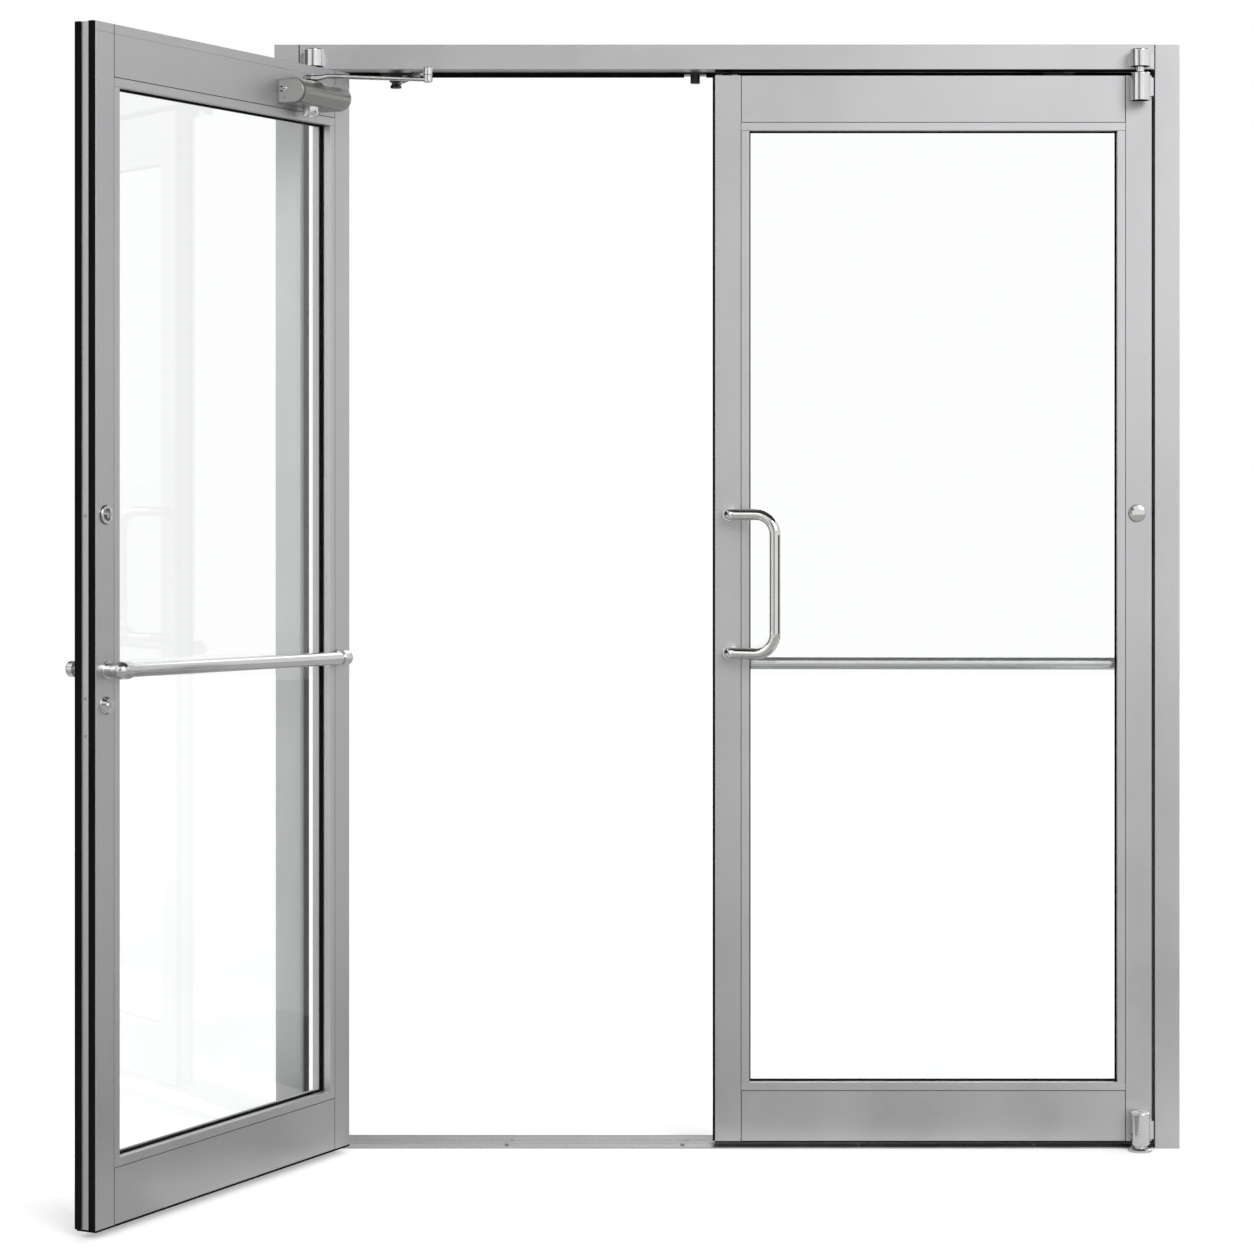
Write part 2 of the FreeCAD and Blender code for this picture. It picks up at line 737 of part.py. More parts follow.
def thumb_turn(foot, outward):
    """A ring with a sunk face, a hub and a small upright lever."""
    ring = rounded_disc(foot, LOCK_RADIUS, THUMB_RING_PROUD, outward, LOCK_EASE)
    recess_foot = foot + outward * (THUMB_RING_PROUD - THUMB_RECESS_DEPTH)
    recess = disc(recess_foot, THUMB_RECESS_RADIUS, THUMB_RECESS_DEPTH, outward)
    hub = disc(foot, THUMB_HUB_RADIUS, THUMB_HUB_PROUD, outward)
    lever = box(
        foot.x - THUMB_LEVER_THICKNESS / 2,
        foot.x + THUMB_LEVER_THICKNESS / 2,
        foot.y,
        foot.y + THUMB_LEVER_PROUD,
        foot.z - THUMB_LEVER_LENGTH / 2,
        foot.z + THUMB_LEVER_LENGTH / 2,
    )
    return one_solid(ring.cut(recess).fuse([hub, lever]))


def lock_cylinders(width, heights):
    """A thumb-turn and a key cylinder inside on the meeting stile, a cylinder outside by the hinges."""
    free = from_hinge(width - LOCK_SET_IN)
    return Part.makeCompound(
        [
            thumb_turn(Vector(free, LEAF_BACK, THUMB_TURN_Z), ALONG_Y),
            key_cylinder(Vector(free, LEAF_BACK, heights[0] - LOCK_BELOW_BAR), ALONG_Y),
            outer_cylinder(
                Vector(from_hinge(LOCK_SET_IN), LEAF_FRONT, OUTER_CYLINDER_Z), -ALONG_Y
            ),
        ]
    )


def leaf_knuckle(z0, z1, bore_from_top):
    """A knuckle with its web, and the arm and plate that wrap the leaf's hinge edge."""
    knuckle = rounded_disc(
        Vector(PIVOT_X, PIVOT_Y, z0), KNUCKLE_RADIUS, z1 - z0, UP, KNUCKLE_EASE
    )
    if bore_from_top:
        plate_top = LEAF_TOP - EDGE_PLATE_INSET
        plate_bottom = plate_top - EDGE_PLATE_HEIGHT
    else:
        plate_bottom = LEAF_BOTTOM + EDGE_PLATE_INSET
        plate_top = plate_bottom + EDGE_PLATE_HEIGHT
    plate = box(
        HINGE_EDGE,
        HINGE_EDGE + PIVOT_PLATE_THICKNESS,
        LEAF_FRONT - EDGE_ARM_THICKNESS,
        LEAF_FRONT + EDGE_PLATE_REACH,
        plate_bottom,
        plate_top,
    )
    arm = box(
        PIVOT_X, HINGE_EDGE, LEAF_FRONT - EDGE_ARM_THICKNESS, LEAF_FRONT, plate_bottom, plate_top
    )
    web = box(
        PIVOT_X - PIVOT_WEB_THICKNESS / 2,
        PIVOT_X + PIVOT_WEB_THICKNESS / 2,
        PIVOT_Y,
        LEAF_FRONT,
        z0,
        min(z1 - KNUCKLE_EASE, LEAF_TOP),
    )
    whole = knuckle.fuse([web, arm, plate])
    if bore_from_top:
        mouth = Vector(PIVOT_X, PIVOT_Y, z1)
        inward = -UP
    else:
        mouth = Vector(PIVOT_X, PIVOT_Y, z0)
        inward = UP
        recess = disc(Vector(PIVOT_X, PIVOT_Y, z1), SCREW_RECESS_RADIUS, SCREW_RECESS_DEPTH, -UP)
        whole = whole.cut(recess)
    depth = PIVOT_PIN_ENGAGEMENT + THRUST_GAP
    bore = disc(mouth, PIVOT_PIN_RADIUS + PIVOT_RUNNING_FIT, depth, inward)
    return one_solid(whole.cut(bore))


def pivot_knuckles():
    top = LEAF_TOP + LEAF_TOP_KNUCKLE_RISE
    return Part.makeCompound(
        [
            leaf_knuckle(top - LEAF_TOP_KNUCKLE_HEIGHT, top, True),
            leaf_knuckle(LEAF_BOTTOM, LEAF_BOTTOM + LEAF_FOOT_KNUCKLE_HEIGHT, False),
        ]
    )


def closer_section(x, inset):
    """The closer's D-shaped section at one x, drawn in by an inset."""
    radius = CLOSER_HEIGHT / 2 - inset
    low = CLOSER_Z - radius
    high = CLOSER_Z + radius
    shoulder = LEAF_BACK + CLOSER_PROJECTION - CLOSER_HEIGHT / 2
    bottom = Part.LineSegment(Vector(x, LEAF_BACK, low), Vector(x, shoulder, low)).toShape()
    nose = Part.Arc(
        Vector(x, shoulder, low), Vector(x, shoulder + radius, CLOSER_Z), Vector(x, shoulder, high)
    ).toShape()
    top = Part.LineSegment(Vector(x, shoulder, high), Vector(x, LEAF_BACK, high)).toShape()
    back = Part.LineSegment(Vector(x, LEAF_BACK, high), Vector(x, LEAF_BACK, low)).toShape()
    return Part.Face(Part.Wire([bottom, nose, top, back]))


def closer_body():
    """The closer's housing, its end cap and the boss under its spindle."""
    hinge_end = PIVOT_X - CLOSER_NEAR_END
    free_end = hinge_end - CLOSER_LENGTH
    case = closer_section(free_end + CLOSER_CAP_THICKNESS, 0).extrude(
        ALONG_X * (CLOSER_LENGTH - CLOSER_CAP_THICKNESS)
    )
    nose_edges = [
        edge
        for edge in case.Edges
        if abs(edge.CenterOfMass.x - hinge_end) < TOUCHING and edge.CenterOfMass.y > LEAF_BACK + TOUCHING
    ]
    case = case.makeFillet(CLOSER_NOSE, nose_edges)
    cap = closer_section(free_end, CLOSER_CAP_STEP).extrude(ALONG_X * CLOSER_CAP_THICKNESS)
    spindle = spindle_centre()
    under = Vector(spindle.x, spindle.y, CLOSER_Z)
    boss_length = CLOSER_HEIGHT / 2 + SPINDLE_BOSS_HEIGHT
    boss = rounded_disc(under, SPINDLE_BOSS_RADIUS, boss_length, -UP, KNUCKLE_EASE)
    mouth = Vector(spindle.x, spindle.y, CLOSER_Z + CLOSER_HEIGHT / 2 - SPINDLE_DEPTH)
    bore = disc(mouth, SPINDLE_RADIUS + SPINDLE_FIT, CLOSER_HEIGHT, UP)
    return one_solid(case.fuse([cap, boss]).cut(bore))


# Closer arms, drawn where they stand


def spindle_centre():
    """The closer's spindle on the closed right leaf."""
    return Vector(PIVOT_X - SPINDLE_FROM_PIVOT, LEAF_BACK + SPINDLE_STAND_OFF, 0)


def shoe_centre(side):
    return Vector(side * (PIVOT_X - SHOE_FROM_PIVOT), SHOE_Y, 0)


def spindle_at(side, opened):
    """The spindle of one leaf when that leaf stands open by an angle."""
    pivot = Vector(PIVOT_X, PIVOT_Y, 0)
    swung = pivot + turned(spindle_centre() - pivot, opened)
    return Vector(side * swung.x, swung.y, 0)


def elbow_at(side, opened):
    """Where the two arms meet: a spindle's arm length and a shoe's arm length away."""
    spindle = spindle_at(side, opened)
    shoe = shoe_centre(side)
    span = shoe - spindle
    along = (MAIN_ARM_LENGTH**2 - FOREARM_LENGTH**2 + span.Length**2) / (2 * span.Length)
    across = math.sqrt(MAIN_ARM_LENGTH**2 - along**2)
    unit = Vector(span.x, span.y, 0).normalize()
    return spindle + unit * along + Vector(unit.y, -unit.x, 0) * (-side * across)


def tapered_link(start, end, width_start, width_end, top, thickness):
    """A flat link between two centres, narrowing from one to the other."""
    run = Vector(end.x - start.x, end.y - start.y, 0).normalize()
    across = Vector(-run.y, run.x, 0)
    lift = Vector(0, 0, top - thickness)
    corners = [
        start + across * (width_start / 2) + lift,
        end + across * (width_end / 2) + lift,
        end - across * (width_end / 2) + lift,
        start - across * (width_start / 2) + lift,
    ]
    return Part.Face(Part.makePolygon(corners + corners[:1])).extrude(UP * thickness)


def main_arm(side, opened):
    """The arm on the closer's spindle, with the spindle and the lower half of the elbow."""
    spindle = spindle_at(side, opened)
    elbow = elbow_at(side, opened)
    body_top = CLOSER_Z + CLOSER_HEIGHT / 2
    hub_bottom = body_top + ARM_HUB_GAP
    shaft_bottom = body_top - SPINDLE_DEPTH + THRUST_GAP
    shaft = disc(
        spindle + UP * shaft_bottom, SPINDLE_RADIUS, MAIN_ARM_TOP - shaft_bottom, UP
    )
    hub = rounded_disc(
        spindle + UP * hub_bottom, ARM_HUB_RADIUS, MAIN_ARM_TOP - hub_bottom, UP, ARM_HUB_EASE
    )
    link = tapered_link(
        spindle, elbow, ARM_ROOT_WIDTH, ARM_TIP_WIDTH, MAIN_ARM_TOP, ARM_THICKNESS
    )
    barrel_bottom = MAIN_ARM_TOP - ARM_THICKNESS - ELBOW_HANG
    barrel = disc(
        elbow + UP * barrel_bottom, ELBOW_RADIUS, ELBOW_SPLIT - ELBOW_GAP - barrel_bottom, UP
    )
    return one_solid(shaft.fuse([hub, link, barrel]))


def forearm(side, opened):
    """The adjustable arm from the shoe, with the upper half of the elbow."""
    elbow = elbow_at(side, opened)
    shoe = shoe_centre(side)
    bottom = FOREARM_TOP - ARM_THICKNESS
    link = tapered_link(elbow, shoe, FOREARM_WIDTH, FOREARM_WIDTH, FOREARM_TOP, ARM_THICKNESS)
    run = shoe - elbow
    tube = Part.makeCylinder(
        FOREARM_TUBE_RADIUS,
        run.Length * FOREARM_TUBE_SHARE,
        elbow + run * ((1 - FOREARM_TUBE_SHARE) / 2) + UP * (bottom + ARM_THICKNESS / 2),
        run,
    )
    barrel_top = FOREARM_TOP + ELBOW_RISE
    barrel = disc(elbow + UP * ELBOW_SPLIT, ELBOW_RADIUS, barrel_top - ELBOW_SPLIT, UP)
    eye = disc(shoe + UP * bottom, ELBOW_RADIUS, ARM_THICKNESS, UP)
    bore = disc(shoe + UP * bottom, SHOE_PIN_RADIUS + SPINDLE_FIT, ARM_THICKNESS, UP)
    return one_solid(link.fuse([tube, barrel, eye]).cut(bore))


def hexagon_nut(centre, radius, bottom, height):
    corners = [
        centre
        + Vector(radius * math.cos(math.pi / 3 * k), radius * math.sin(math.pi / 3 * k), bottom)
        for k in range(6)
    ]
    return Part.Face(Part.makePolygon(corners + corners[:1])).extrude(UP * height)


def closer_shoe(side):
    """The shoe under the header, the pin that the forearm turns on, and its nut."""
    centre = shoe_centre(side)
    half_length = SHOE_LENGTH / 2
    half_width = SHOE_WIDTH / 2
    plate = eased_bar(
        centre.x - half_length,
        centre.x + half_length,
        centre.y - half_width,
        centre.y + half_width,
        SOFFIT_Z - SHOE_PLATE_THICKNESS,
        SOFFIT_Z,
        SHOE_PLATE_THICKNESS,
        UP,
    )
    boss_bottom = FOREARM_TOP + ARM_FACE_GAP
    boss = disc(centre + UP * boss_bottom, SHOE_BOSS_RADIUS, SOFFIT_Z - boss_bottom, UP)
    nut_top = FOREARM_TOP - ARM_THICKNESS - ARM_FACE_GAP
    nut_bottom = nut_top - SHOE_NUT_HEIGHT
    nut = hexagon_nut(centre, SHOE_NUT_RADIUS, nut_bottom, SHOE_NUT_HEIGHT)
    pin = disc(centre + UP * nut_bottom, SHOE_PIN_RADIUS, SOFFIT_Z - nut_bottom, UP)
    return one_solid(plate.fuse([boss, nut, pin]))


def leaf_pieces(width, heights, pull):
    """Every piece of one leaf, closed and on the right, given its bar's heights and its pull."""
    return {
        "hinge_stile": stile(0, STILE_WIDTH),
        "meeting_stile": stile(width - STILE_WIDTH, width),
        "top_rail": rail(width, LEAF_TOP - TOP_RAIL_HEIGHT, LEAF_TOP),
        "bottom_rail": rail(width, LEAF_BOTTOM, LEAF_BOTTOM + BOTTOM_RAIL_HEIGHT),
        "glazing_beads": glazing_beads(width),
        "glass": glass(width),
        "glazing_gaskets": glazing_gaskets(width),
        "meeting_seals": meeting_seals(width),
        "bottom_sweep": bottom_sweep(width),
        "push_bar": push_bar(width, heights),
        "push_bar_posts": push_bar_posts(width, heights),
        "pull_handle": pull,
        "lock_cylinders": lock_cylinders(width, heights),
        "pivot_knuckles": pivot_knuckles(),
        "closer_body": closer_body(),
    }


def frame_pieces():
    return {
        "left_jamb": mirrored(jamb()),
        "right_jamb": jamb(),
        "header": header(),
        "threshold": threshold(),
        "frame_seals": frame_seals(),
        "header_stops": header_stops(),
        "left_top_pivot": mirrored(top_frame_pivot()),
        "right_top_pivot": top_frame_pivot(),
        "left_floor_pivot": mirrored(floor_pivot()),
        "right_floor_pivot": floor_pivot(),
        "left_closer_shoe": closer_shoe(-1),
        "right_closer_shoe": closer_shoe(1),
    }


def swung_open(shape, angle):
    """A piece of the left leaf turned open about its pivot."""
    turned_shape = shape.copy()
    turned_shape.rotate(Vector(-PIVOT_X, PIVOT_Y, 0), UP, -angle)
    return turned_shape


def build():
    pieces = frame_pieces()
    pull = Part.makeCompound([pull_bar(RIGHT_LEAF_WIDTH)] + pull_roses(RIGHT_LEAF_WIDTH))
    knob = pull_knob(LEFT_LEAF_WIDTH, LEFT_PUSH_BAR_HEIGHTS)
    for name, shape in leaf_pieces(RIGHT_LEAF_WIDTH, RIGHT_PUSH_BAR_HEIGHTS, pull).items():
        pieces["right_" + name] = shape
    for name, shape in leaf_pieces(LEFT_LEAF_WIDTH, LEFT_PUSH_BAR_HEIGHTS, knob).items():
        pieces["left_" + name] = swung_open(mirrored(shape), OPEN_ANGLE)
    pieces["right_main_arm"] = main_arm(1, 0)
    pieces["right_forearm"] = forearm(1, 0)
    pieces["left_main_arm"] = main_arm(-1, OPEN_ANGLE)
    pieces["left_forearm"] = forearm(-1, OPEN_ANGLE)
    return pieces


os.makedirs("parts", exist_ok=True)
for node, solid in build().items():
    solid.exportStep(os.path.join("parts", node + ".step"))
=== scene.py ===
import json
import math
from collections import namedtuple

import bmesh
import bpy
from mathutils import Matrix, Vector

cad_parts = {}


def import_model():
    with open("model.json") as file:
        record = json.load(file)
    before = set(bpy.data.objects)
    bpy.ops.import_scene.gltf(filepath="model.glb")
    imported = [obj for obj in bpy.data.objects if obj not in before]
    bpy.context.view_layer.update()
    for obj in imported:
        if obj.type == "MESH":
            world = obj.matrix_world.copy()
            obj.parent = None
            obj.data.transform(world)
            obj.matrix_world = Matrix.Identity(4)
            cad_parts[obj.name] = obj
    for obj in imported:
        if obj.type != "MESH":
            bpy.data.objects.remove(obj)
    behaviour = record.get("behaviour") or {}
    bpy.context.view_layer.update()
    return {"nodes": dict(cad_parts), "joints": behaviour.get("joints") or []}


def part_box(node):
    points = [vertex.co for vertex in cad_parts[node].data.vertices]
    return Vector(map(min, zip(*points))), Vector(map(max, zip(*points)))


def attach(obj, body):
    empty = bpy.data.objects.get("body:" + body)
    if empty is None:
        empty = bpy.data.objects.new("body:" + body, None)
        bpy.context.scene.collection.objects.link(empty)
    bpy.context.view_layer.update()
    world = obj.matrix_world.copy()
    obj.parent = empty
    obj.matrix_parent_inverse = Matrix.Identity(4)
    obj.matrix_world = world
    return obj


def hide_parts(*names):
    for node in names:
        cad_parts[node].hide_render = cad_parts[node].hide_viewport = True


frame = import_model()

# The camera, from the photograph's perspective

CAMERA_PLACE = Vector((0.0, -6.26915, 1.3227))
SENSOR = 36.0
PHOTO_SIDE = 1254.0
FOCAL_PIXELS = 3140.0
AXIS_PX = 727.0
AXIS_PY = 480.0

# Directions and units

MM = 0.001
UP = Vector((0, 0, 1))
DOWN = Vector((0, 0, -1))
OUTSIDE = Vector((0, -1, 0))
INSIDE = Vector((0, 1, 0))
FREE_WAY = Vector((-1, 0, 0))
SIDES = ("right", "left")


# Places on the leaves


def joint_named(name):
    return next(joint for joint in frame["joints"] if joint["name"] == name)


def leaf_matrix(side):
    """From the closed right-hand place in which a leaf is drawn to where it stands at rest."""
    if side == "right":
        return Matrix.Identity(4)
    swing = joint_named("left_leaf_swing")
    pivot = Vector(swing["pos_m"])
    opened = math.radians(swing["range_deg"][1])
    turn = Matrix.Translation(pivot) @ Matrix.Rotation(-opened, 4, "Z") @ Matrix.Translation(-pivot)
    return turn @ Matrix.Scale(-1, 4, Vector((1, 0, 0)))


def leaf_box(side, part):
    """The corners of a leaf's piece as if the leaf were closed on the right."""
    back = leaf_matrix(side).inverted()
    corners = [back @ vertex.co for vertex in frame["nodes"][side + "_" + part].data.vertices]
    low = Vector([min(corner[axis] for corner in corners) for axis in range(3)])
    high = Vector([max(corner[axis] for corner in corners) for axis in range(3)])
    return low, high


def leaf_edges(side):
    """The x of a leaf's free and hinge edges, and the y of its front and back."""
    low, high = leaf_box(side, "meeting_stile")
    return low.x, leaf_box(side, "hinge_stile")[1].x, low.y, high.y


def stand(point, outward, up=UP):
    """A place whose Z points outward and whose Y points up."""
    z = outward.normalized()
    x = up.cross(z).normalized()
    y = z.cross(x)
    turn = Matrix((x, y, z)).transposed().to_4x4()
    return Matrix.Translation(point) @ turn


def on_leaf(side, x, y, z, outward, up=UP):
    """The same, for a point and directions given on the closed right-hand leaf."""
    return leaf_matrix(side) @ stand(Vector((x, y, z)), outward, up)


# Node trees

NOISE_SPREAD = (0.3, 0.7)
WEAR_SPREAD = (0.35, 0.65)
WHITE = (1, 1, 1, 1)


def add(tree, kind, settings=None, **inputs):
    """A node with its settings, and each input set or linked by its name in words or its slot's number."""
    node = tree.nodes.new(kind)
    for key, value in (settings or {}).items():
        setattr(node, key, value)
    for key, value in inputs.items():
        which = int(key.removeprefix("slot")) if key.startswith("slot") else key.replace("_", " ")
        socket = node.inputs[which]
        if isinstance(value, bpy.types.NodeSocket):
            tree.links.new(value, socket)
        else:
            socket.default_value = value
    return node


def new_material(name, colour, metallic, roughness, **values):
    material = bpy.data.materials.new(name)
    material.use_nodes = True
    shader = material.node_tree.nodes["Principled BSDF"]
    shader.inputs["Base Color"].default_value = (*colour, 1)
    shader.inputs["Metallic"].default_value = metallic
    shader.inputs["Roughness"].default_value = roughness
    for key, value in values.items():
        shader.inputs[key.replace("_", " ")].default_value = value
    return material, material.node_tree, shader


def noise_at(tree, size, turn=0.0, detail=2.0, rough=0.5):
    """Noise whose grains measure size in metres along each axis, after a turn about the vertical."""
    place = add(tree, "ShaderNodeTexCoord").outputs["Object"]
    grid = add(
        tree,
        "ShaderNodeMapping",
        {"vector_type": "TEXTURE"},
        Vector=place,
        Rotation=(0, 0, turn),
        Scale=size,
    )
    grain = add(
        tree,
        "ShaderNodeTexNoise",
        Vector=grid.outputs["Vector"],
        Scale=1.0,
        Detail=detail,
        Roughness=rough,
    )
    return grain.outputs["Fac"]


def ranged(tree, value, low, high, start, end):
    """A value taken from one range to another."""
    node = add(tree, "ShaderNodeMapRange", slot0=value, slot1=start, slot2=end, slot3=low, slot4=high)
    return node.outputs["Result"]


def calculated(tree, operation, *values):
    """The result of a sum on one value or more."""
    slots = {"slot" + str(k): value for k, value in enumerate(values)}
    return add(tree, "ShaderNodeMath", {"operation": operation}, **slots).outputs["Value"]


def both(tree, first, second, share):
    """Two values mixed, with a share of the second."""
    first_part = calculated(tree, "MULTIPLY", first, 1 - share)
    return calculated(tree, "MULTIPLY_ADD", second, share, first_part)


def coated(tree, shader, colour, shade, tint, wear, roughness, spread=WEAR_SPREAD):
    """The colour darkened and lightened by one noise, and the roughness taken from another."""
    gain = ranged(tree, shade, *tint, *NOISE_SPREAD)
    mix = add(tree, "ShaderNodeVectorMath", {"operation": "SCALE"}, slot0=colour, slot3=gain)
    tree.links.new(mix.outputs["Vector"], shader.inputs["Base Color"])
    tree.links.new(ranged(tree, wear, *roughness, *spread), shader.inputs["Roughness"])


def bumped(tree, shader, height, strength, distance):
    bump = add(tree, "ShaderNodeBump", Strength=strength, Distance=distance, Height=height)
    tree.links.new(bump.outputs["Normal"], shader.inputs["Normal"])


def mixed_shader(tree, share, first, second):
    return add(tree, "ShaderNodeMixShader", slot0=share, slot1=first, slot2=second).outputs["Shader"]


# Materials

ANODISED = (0.52, 0.52, 0.53)
DIE_LINE = 0.0011
DIE_LINE_LENGTH = 0.7
OPEN_TURN = -math.radians(joint_named("left_leaf_swing")["range_deg"][1])
SMEAR_TINT = (0.96, 1.04)


def grain_size(across, along, axis):
    """A grain of one size, apart from its size along one axis."""
    size = [across] * 3
    size["XYZ".index(axis)] = along
    return size


def extruded(name, axis, turn=0.0, colour=ANODISED, roughness=(0.36, 0.46)):
    """Satin anodised aluminium with the fine lines of its die along one axis."""
    material, tree, shader = new_material(name, colour, 1.0, roughness[0])
    lines = noise_at(tree, grain_size(DIE_LINE, DIE_LINE_LENGTH, axis), turn, detail=3.0)
    clouds = noise_at(tree, (0.16, 0.16, 0.3), detail=3.0)
    spots = noise_at(tree, (0.012, 0.012, 0.02), detail=4.0, rough=0.65)
    shade = both(tree, lines, clouds, share=0.6)
    wear = both(tree, clouds, spots, share=0.4)
    coated(tree, shader, colour, shade, (0.965, 1.035), wear, roughness)
    bumped(tree, shader, lines, strength=0.10, distance=0.00012)
    return material


def turned_metal(name, colour, roughness, pitch, axis="Z"):
    """Bright metal with the fine rings that a lathe or a brush leaves."""
    material, tree, shader = new_material(name, colour, 1.0, roughness[0])
    rings = noise_at(tree, grain_size(0.05, pitch, axis), detail=3.0)
    smears = noise_at(tree, (0.02, 0.02, 0.03), detail=4.0, rough=0.6)
    wear = both(tree, rings, smears, share=0.5)
    coated(tree, shader, colour, smears, SMEAR_TINT, wear, roughness)
    bumped(tree, shader, rings, strength=0.12, distance=0.0001)
    return material


def brushed_bar(name, colour, roughness, turn=0.0):
    """Satin steel brushed along a level bar."""
    material, tree, shader = new_material(name, colour, 1.0, roughness[0])
    lines = noise_at(tree, grain_size(0.0005, 0.25, "X"), turn, detail=3.0)
    hands = noise_at(tree, grain_size(0.02, 0.07, "X"), turn, detail=4.0, rough=0.6)
    wear = both(tree, lines, hands, share=0.5)
    coated(tree, shader, colour, hands, SMEAR_TINT, wear, roughness)
    bumped(tree, shader, lines, strength=0.05, distance=0.0001)
    return material


def polished(name, colour, roughness):
    """Polished steel with the faint smears of hands."""
    material, tree, shader = new_material(name, colour, 1.0, roughness[0])
    smears = noise_at(tree, (0.018, 0.018, 0.03), detail=5.0, rough=0.65)
    coated(tree, shader, colour, smears, (0.97, 1.03), smears, roughness)
    ripple = noise_at(tree, (0.03, 0.03, 0.03))
    bumped(tree, shader, ripple, strength=0.05, distance=0.0002)
    return material


def worn_mill(name, colour, roughness=(0.34, 0.56)):
    """Bare aluminium scuffed by feet, with dirt in its flutes."""
    material, tree, shader = new_material(name, colour, 1.0, roughness[0])
    scuffs = noise_at(tree, (0.004, 0.05, 0.01), detail=5.0, rough=0.7)
    lines = noise_at(tree, grain_size(0.0009, 0.5, "X"), detail=3.0)
    patches = noise_at(tree, (0.11, 0.05, 0.05), detail=4.0, rough=0.6)
    shade = both(tree, scuffs, patches, share=0.5)
    wear = both(tree, lines, shade, share=0.6)
    coated(tree, shader, colour, shade, (0.80, 1.12), wear, roughness, NOISE_SPREAD)
    bumped(tree, shader, both(tree, lines, scuffs, share=0.5), strength=0.25, distance=0.0002)
    return material


def enamel(name, colour, metallic, roughness):
    """Sprayed enamel with its fine texture."""
    material, tree, shader = new_material(name, colour, metallic, roughness[0])
    specks = noise_at(tree, (0.0008, 0.0008, 0.0008))
    clouds = noise_at(tree, (0.05, 0.05, 0.05), detail=3.0)
    shade = both(tree, specks, clouds, share=0.5)
    coated(tree, shader, colour, shade, (0.92, 1.08), clouds, roughness)
    bumped(tree, shader, specks, strength=0.12, distance=0.0001)
    return material


def rubber(name, colour, roughness=(0.7, 0.85)):
    """Black rubber with a little dust on it."""
    material, tree, shader = new_material(name, colour, 0.0, roughness[0], Specular_IOR_Level=0.06)
    dust = noise_at(tree, (0.03, 0.03, 0.12), detail=5.0, rough=0.65)
    skin = noise_at(tree, (0.001, 0.001, 0.02))
    coated(tree, shader, colour, dust, (0.6, 1.7), dust, roughness, NOISE_SPREAD)
    bumped(tree, shader, skin, strength=0.15, distance=0.0001)
    return material


def clear_glass(name):
    """Float glass that lets the lamps through."""
    colour = (0.975, 0.99, 0.982)
    material, tree, shader = new_material(name, colour, 0.0, 0.0, Transmission_Weight=1.0, IOR=1.5)
    rays = add(tree, "ShaderNodeLightPath")
    through = add(tree, "ShaderNodeBsdfTransparent", Color=(0.95, 0.965, 0.957, 1))
    surface = mixed_shader(
        tree, rays.outputs["Is Shadow Ray"], shader.outputs["BSDF"], through.outputs["BSDF"]
    )
    tree.links.new(surface, tree.nodes["Material Output"].inputs["Surface"])
    waves = noise_at(tree, (0.5, 0.5, 0.9))
    bumped(tree, shader, waves, strength=0.02, distance=0.0005)
    return material


UPRIGHT = extruded("anodised_upright", "Z")
LEVEL = {
    "right": extruded("anodised_level", "X"),
    "left": extruded("anodised_level_open", "X", OPEN_TURN),
}
BEADS = extruded("anodised_beads", "Z", colour=(0.54, 0.54, 0.55))
MILL = worn_mill("threshold_mill", (0.48, 0.48, 0.48))
TURNED = turned_metal("turned_aluminium", (0.70, 0.70, 0.71), (0.13, 0.20), 0.0007)
SATIN = {
    "right": brushed_bar("satin_bar", (0.60, 0.60, 0.61), (0.15, 0.21)),
    "left": brushed_bar("satin_bar_open", (0.60, 0.60, 0.61), (0.15, 0.21), OPEN_TURN),
}
FITTING = turned_metal("satin_fitting", (0.60, 0.60, 0.60), (0.18, 0.26), 0.0006)
POLISHED = polished("polished_steel", (0.68, 0.67, 0.65), (0.02, 0.06))
DISC = turned_metal("lock_disc", (0.58, 0.58, 0.57), (0.16, 0.24), 0.0006, "Y")
ARM = turned_metal("arm_steel", (0.34, 0.335, 0.32), (0.18, 0.28), 0.0009)
CLOSER = enamel("closer_enamel", (0.30, 0.297, 0.287), 0.85, (0.24, 0.32))
CAP = enamel("closer_cap", (0.38, 0.377, 0.362), 0.5, (0.36, 0.44))
# Besides their own parts, these dark materials carry painted shade: the blackened steel for the slot and
# keyway marks, the black rubber for the soffit strip and the knuckle discs, and the dark joint for the
# bands round the locks.
BLACK_STEEL_AND_SHADE = enamel("blackened_steel", (0.012, 0.012, 0.012), 0.2, (0.28, 0.40))
BLACK = rubber("black_rubber", (0.004, 0.004, 0.004))
DARK_JOINT_AND_SHADE = rubber("joint_dark_and_painted_shade", (0.02, 0.02, 0.02))
SCREW = turned_metal("screw_steel", (0.40, 0.40, 0.40), (0.22, 0.34), 0.0008)
RECESS = turned_metal("recess_face", (0.24, 0.24, 0.24), (0.26, 0.36), 0.0006, "Y")
GLASS = clear_glass("clear_glass")


def dress(material, *nodes):
    for node in nodes:
        slots = frame["nodes"][node].data.materials
        slots.clear()
        slots.append(material)


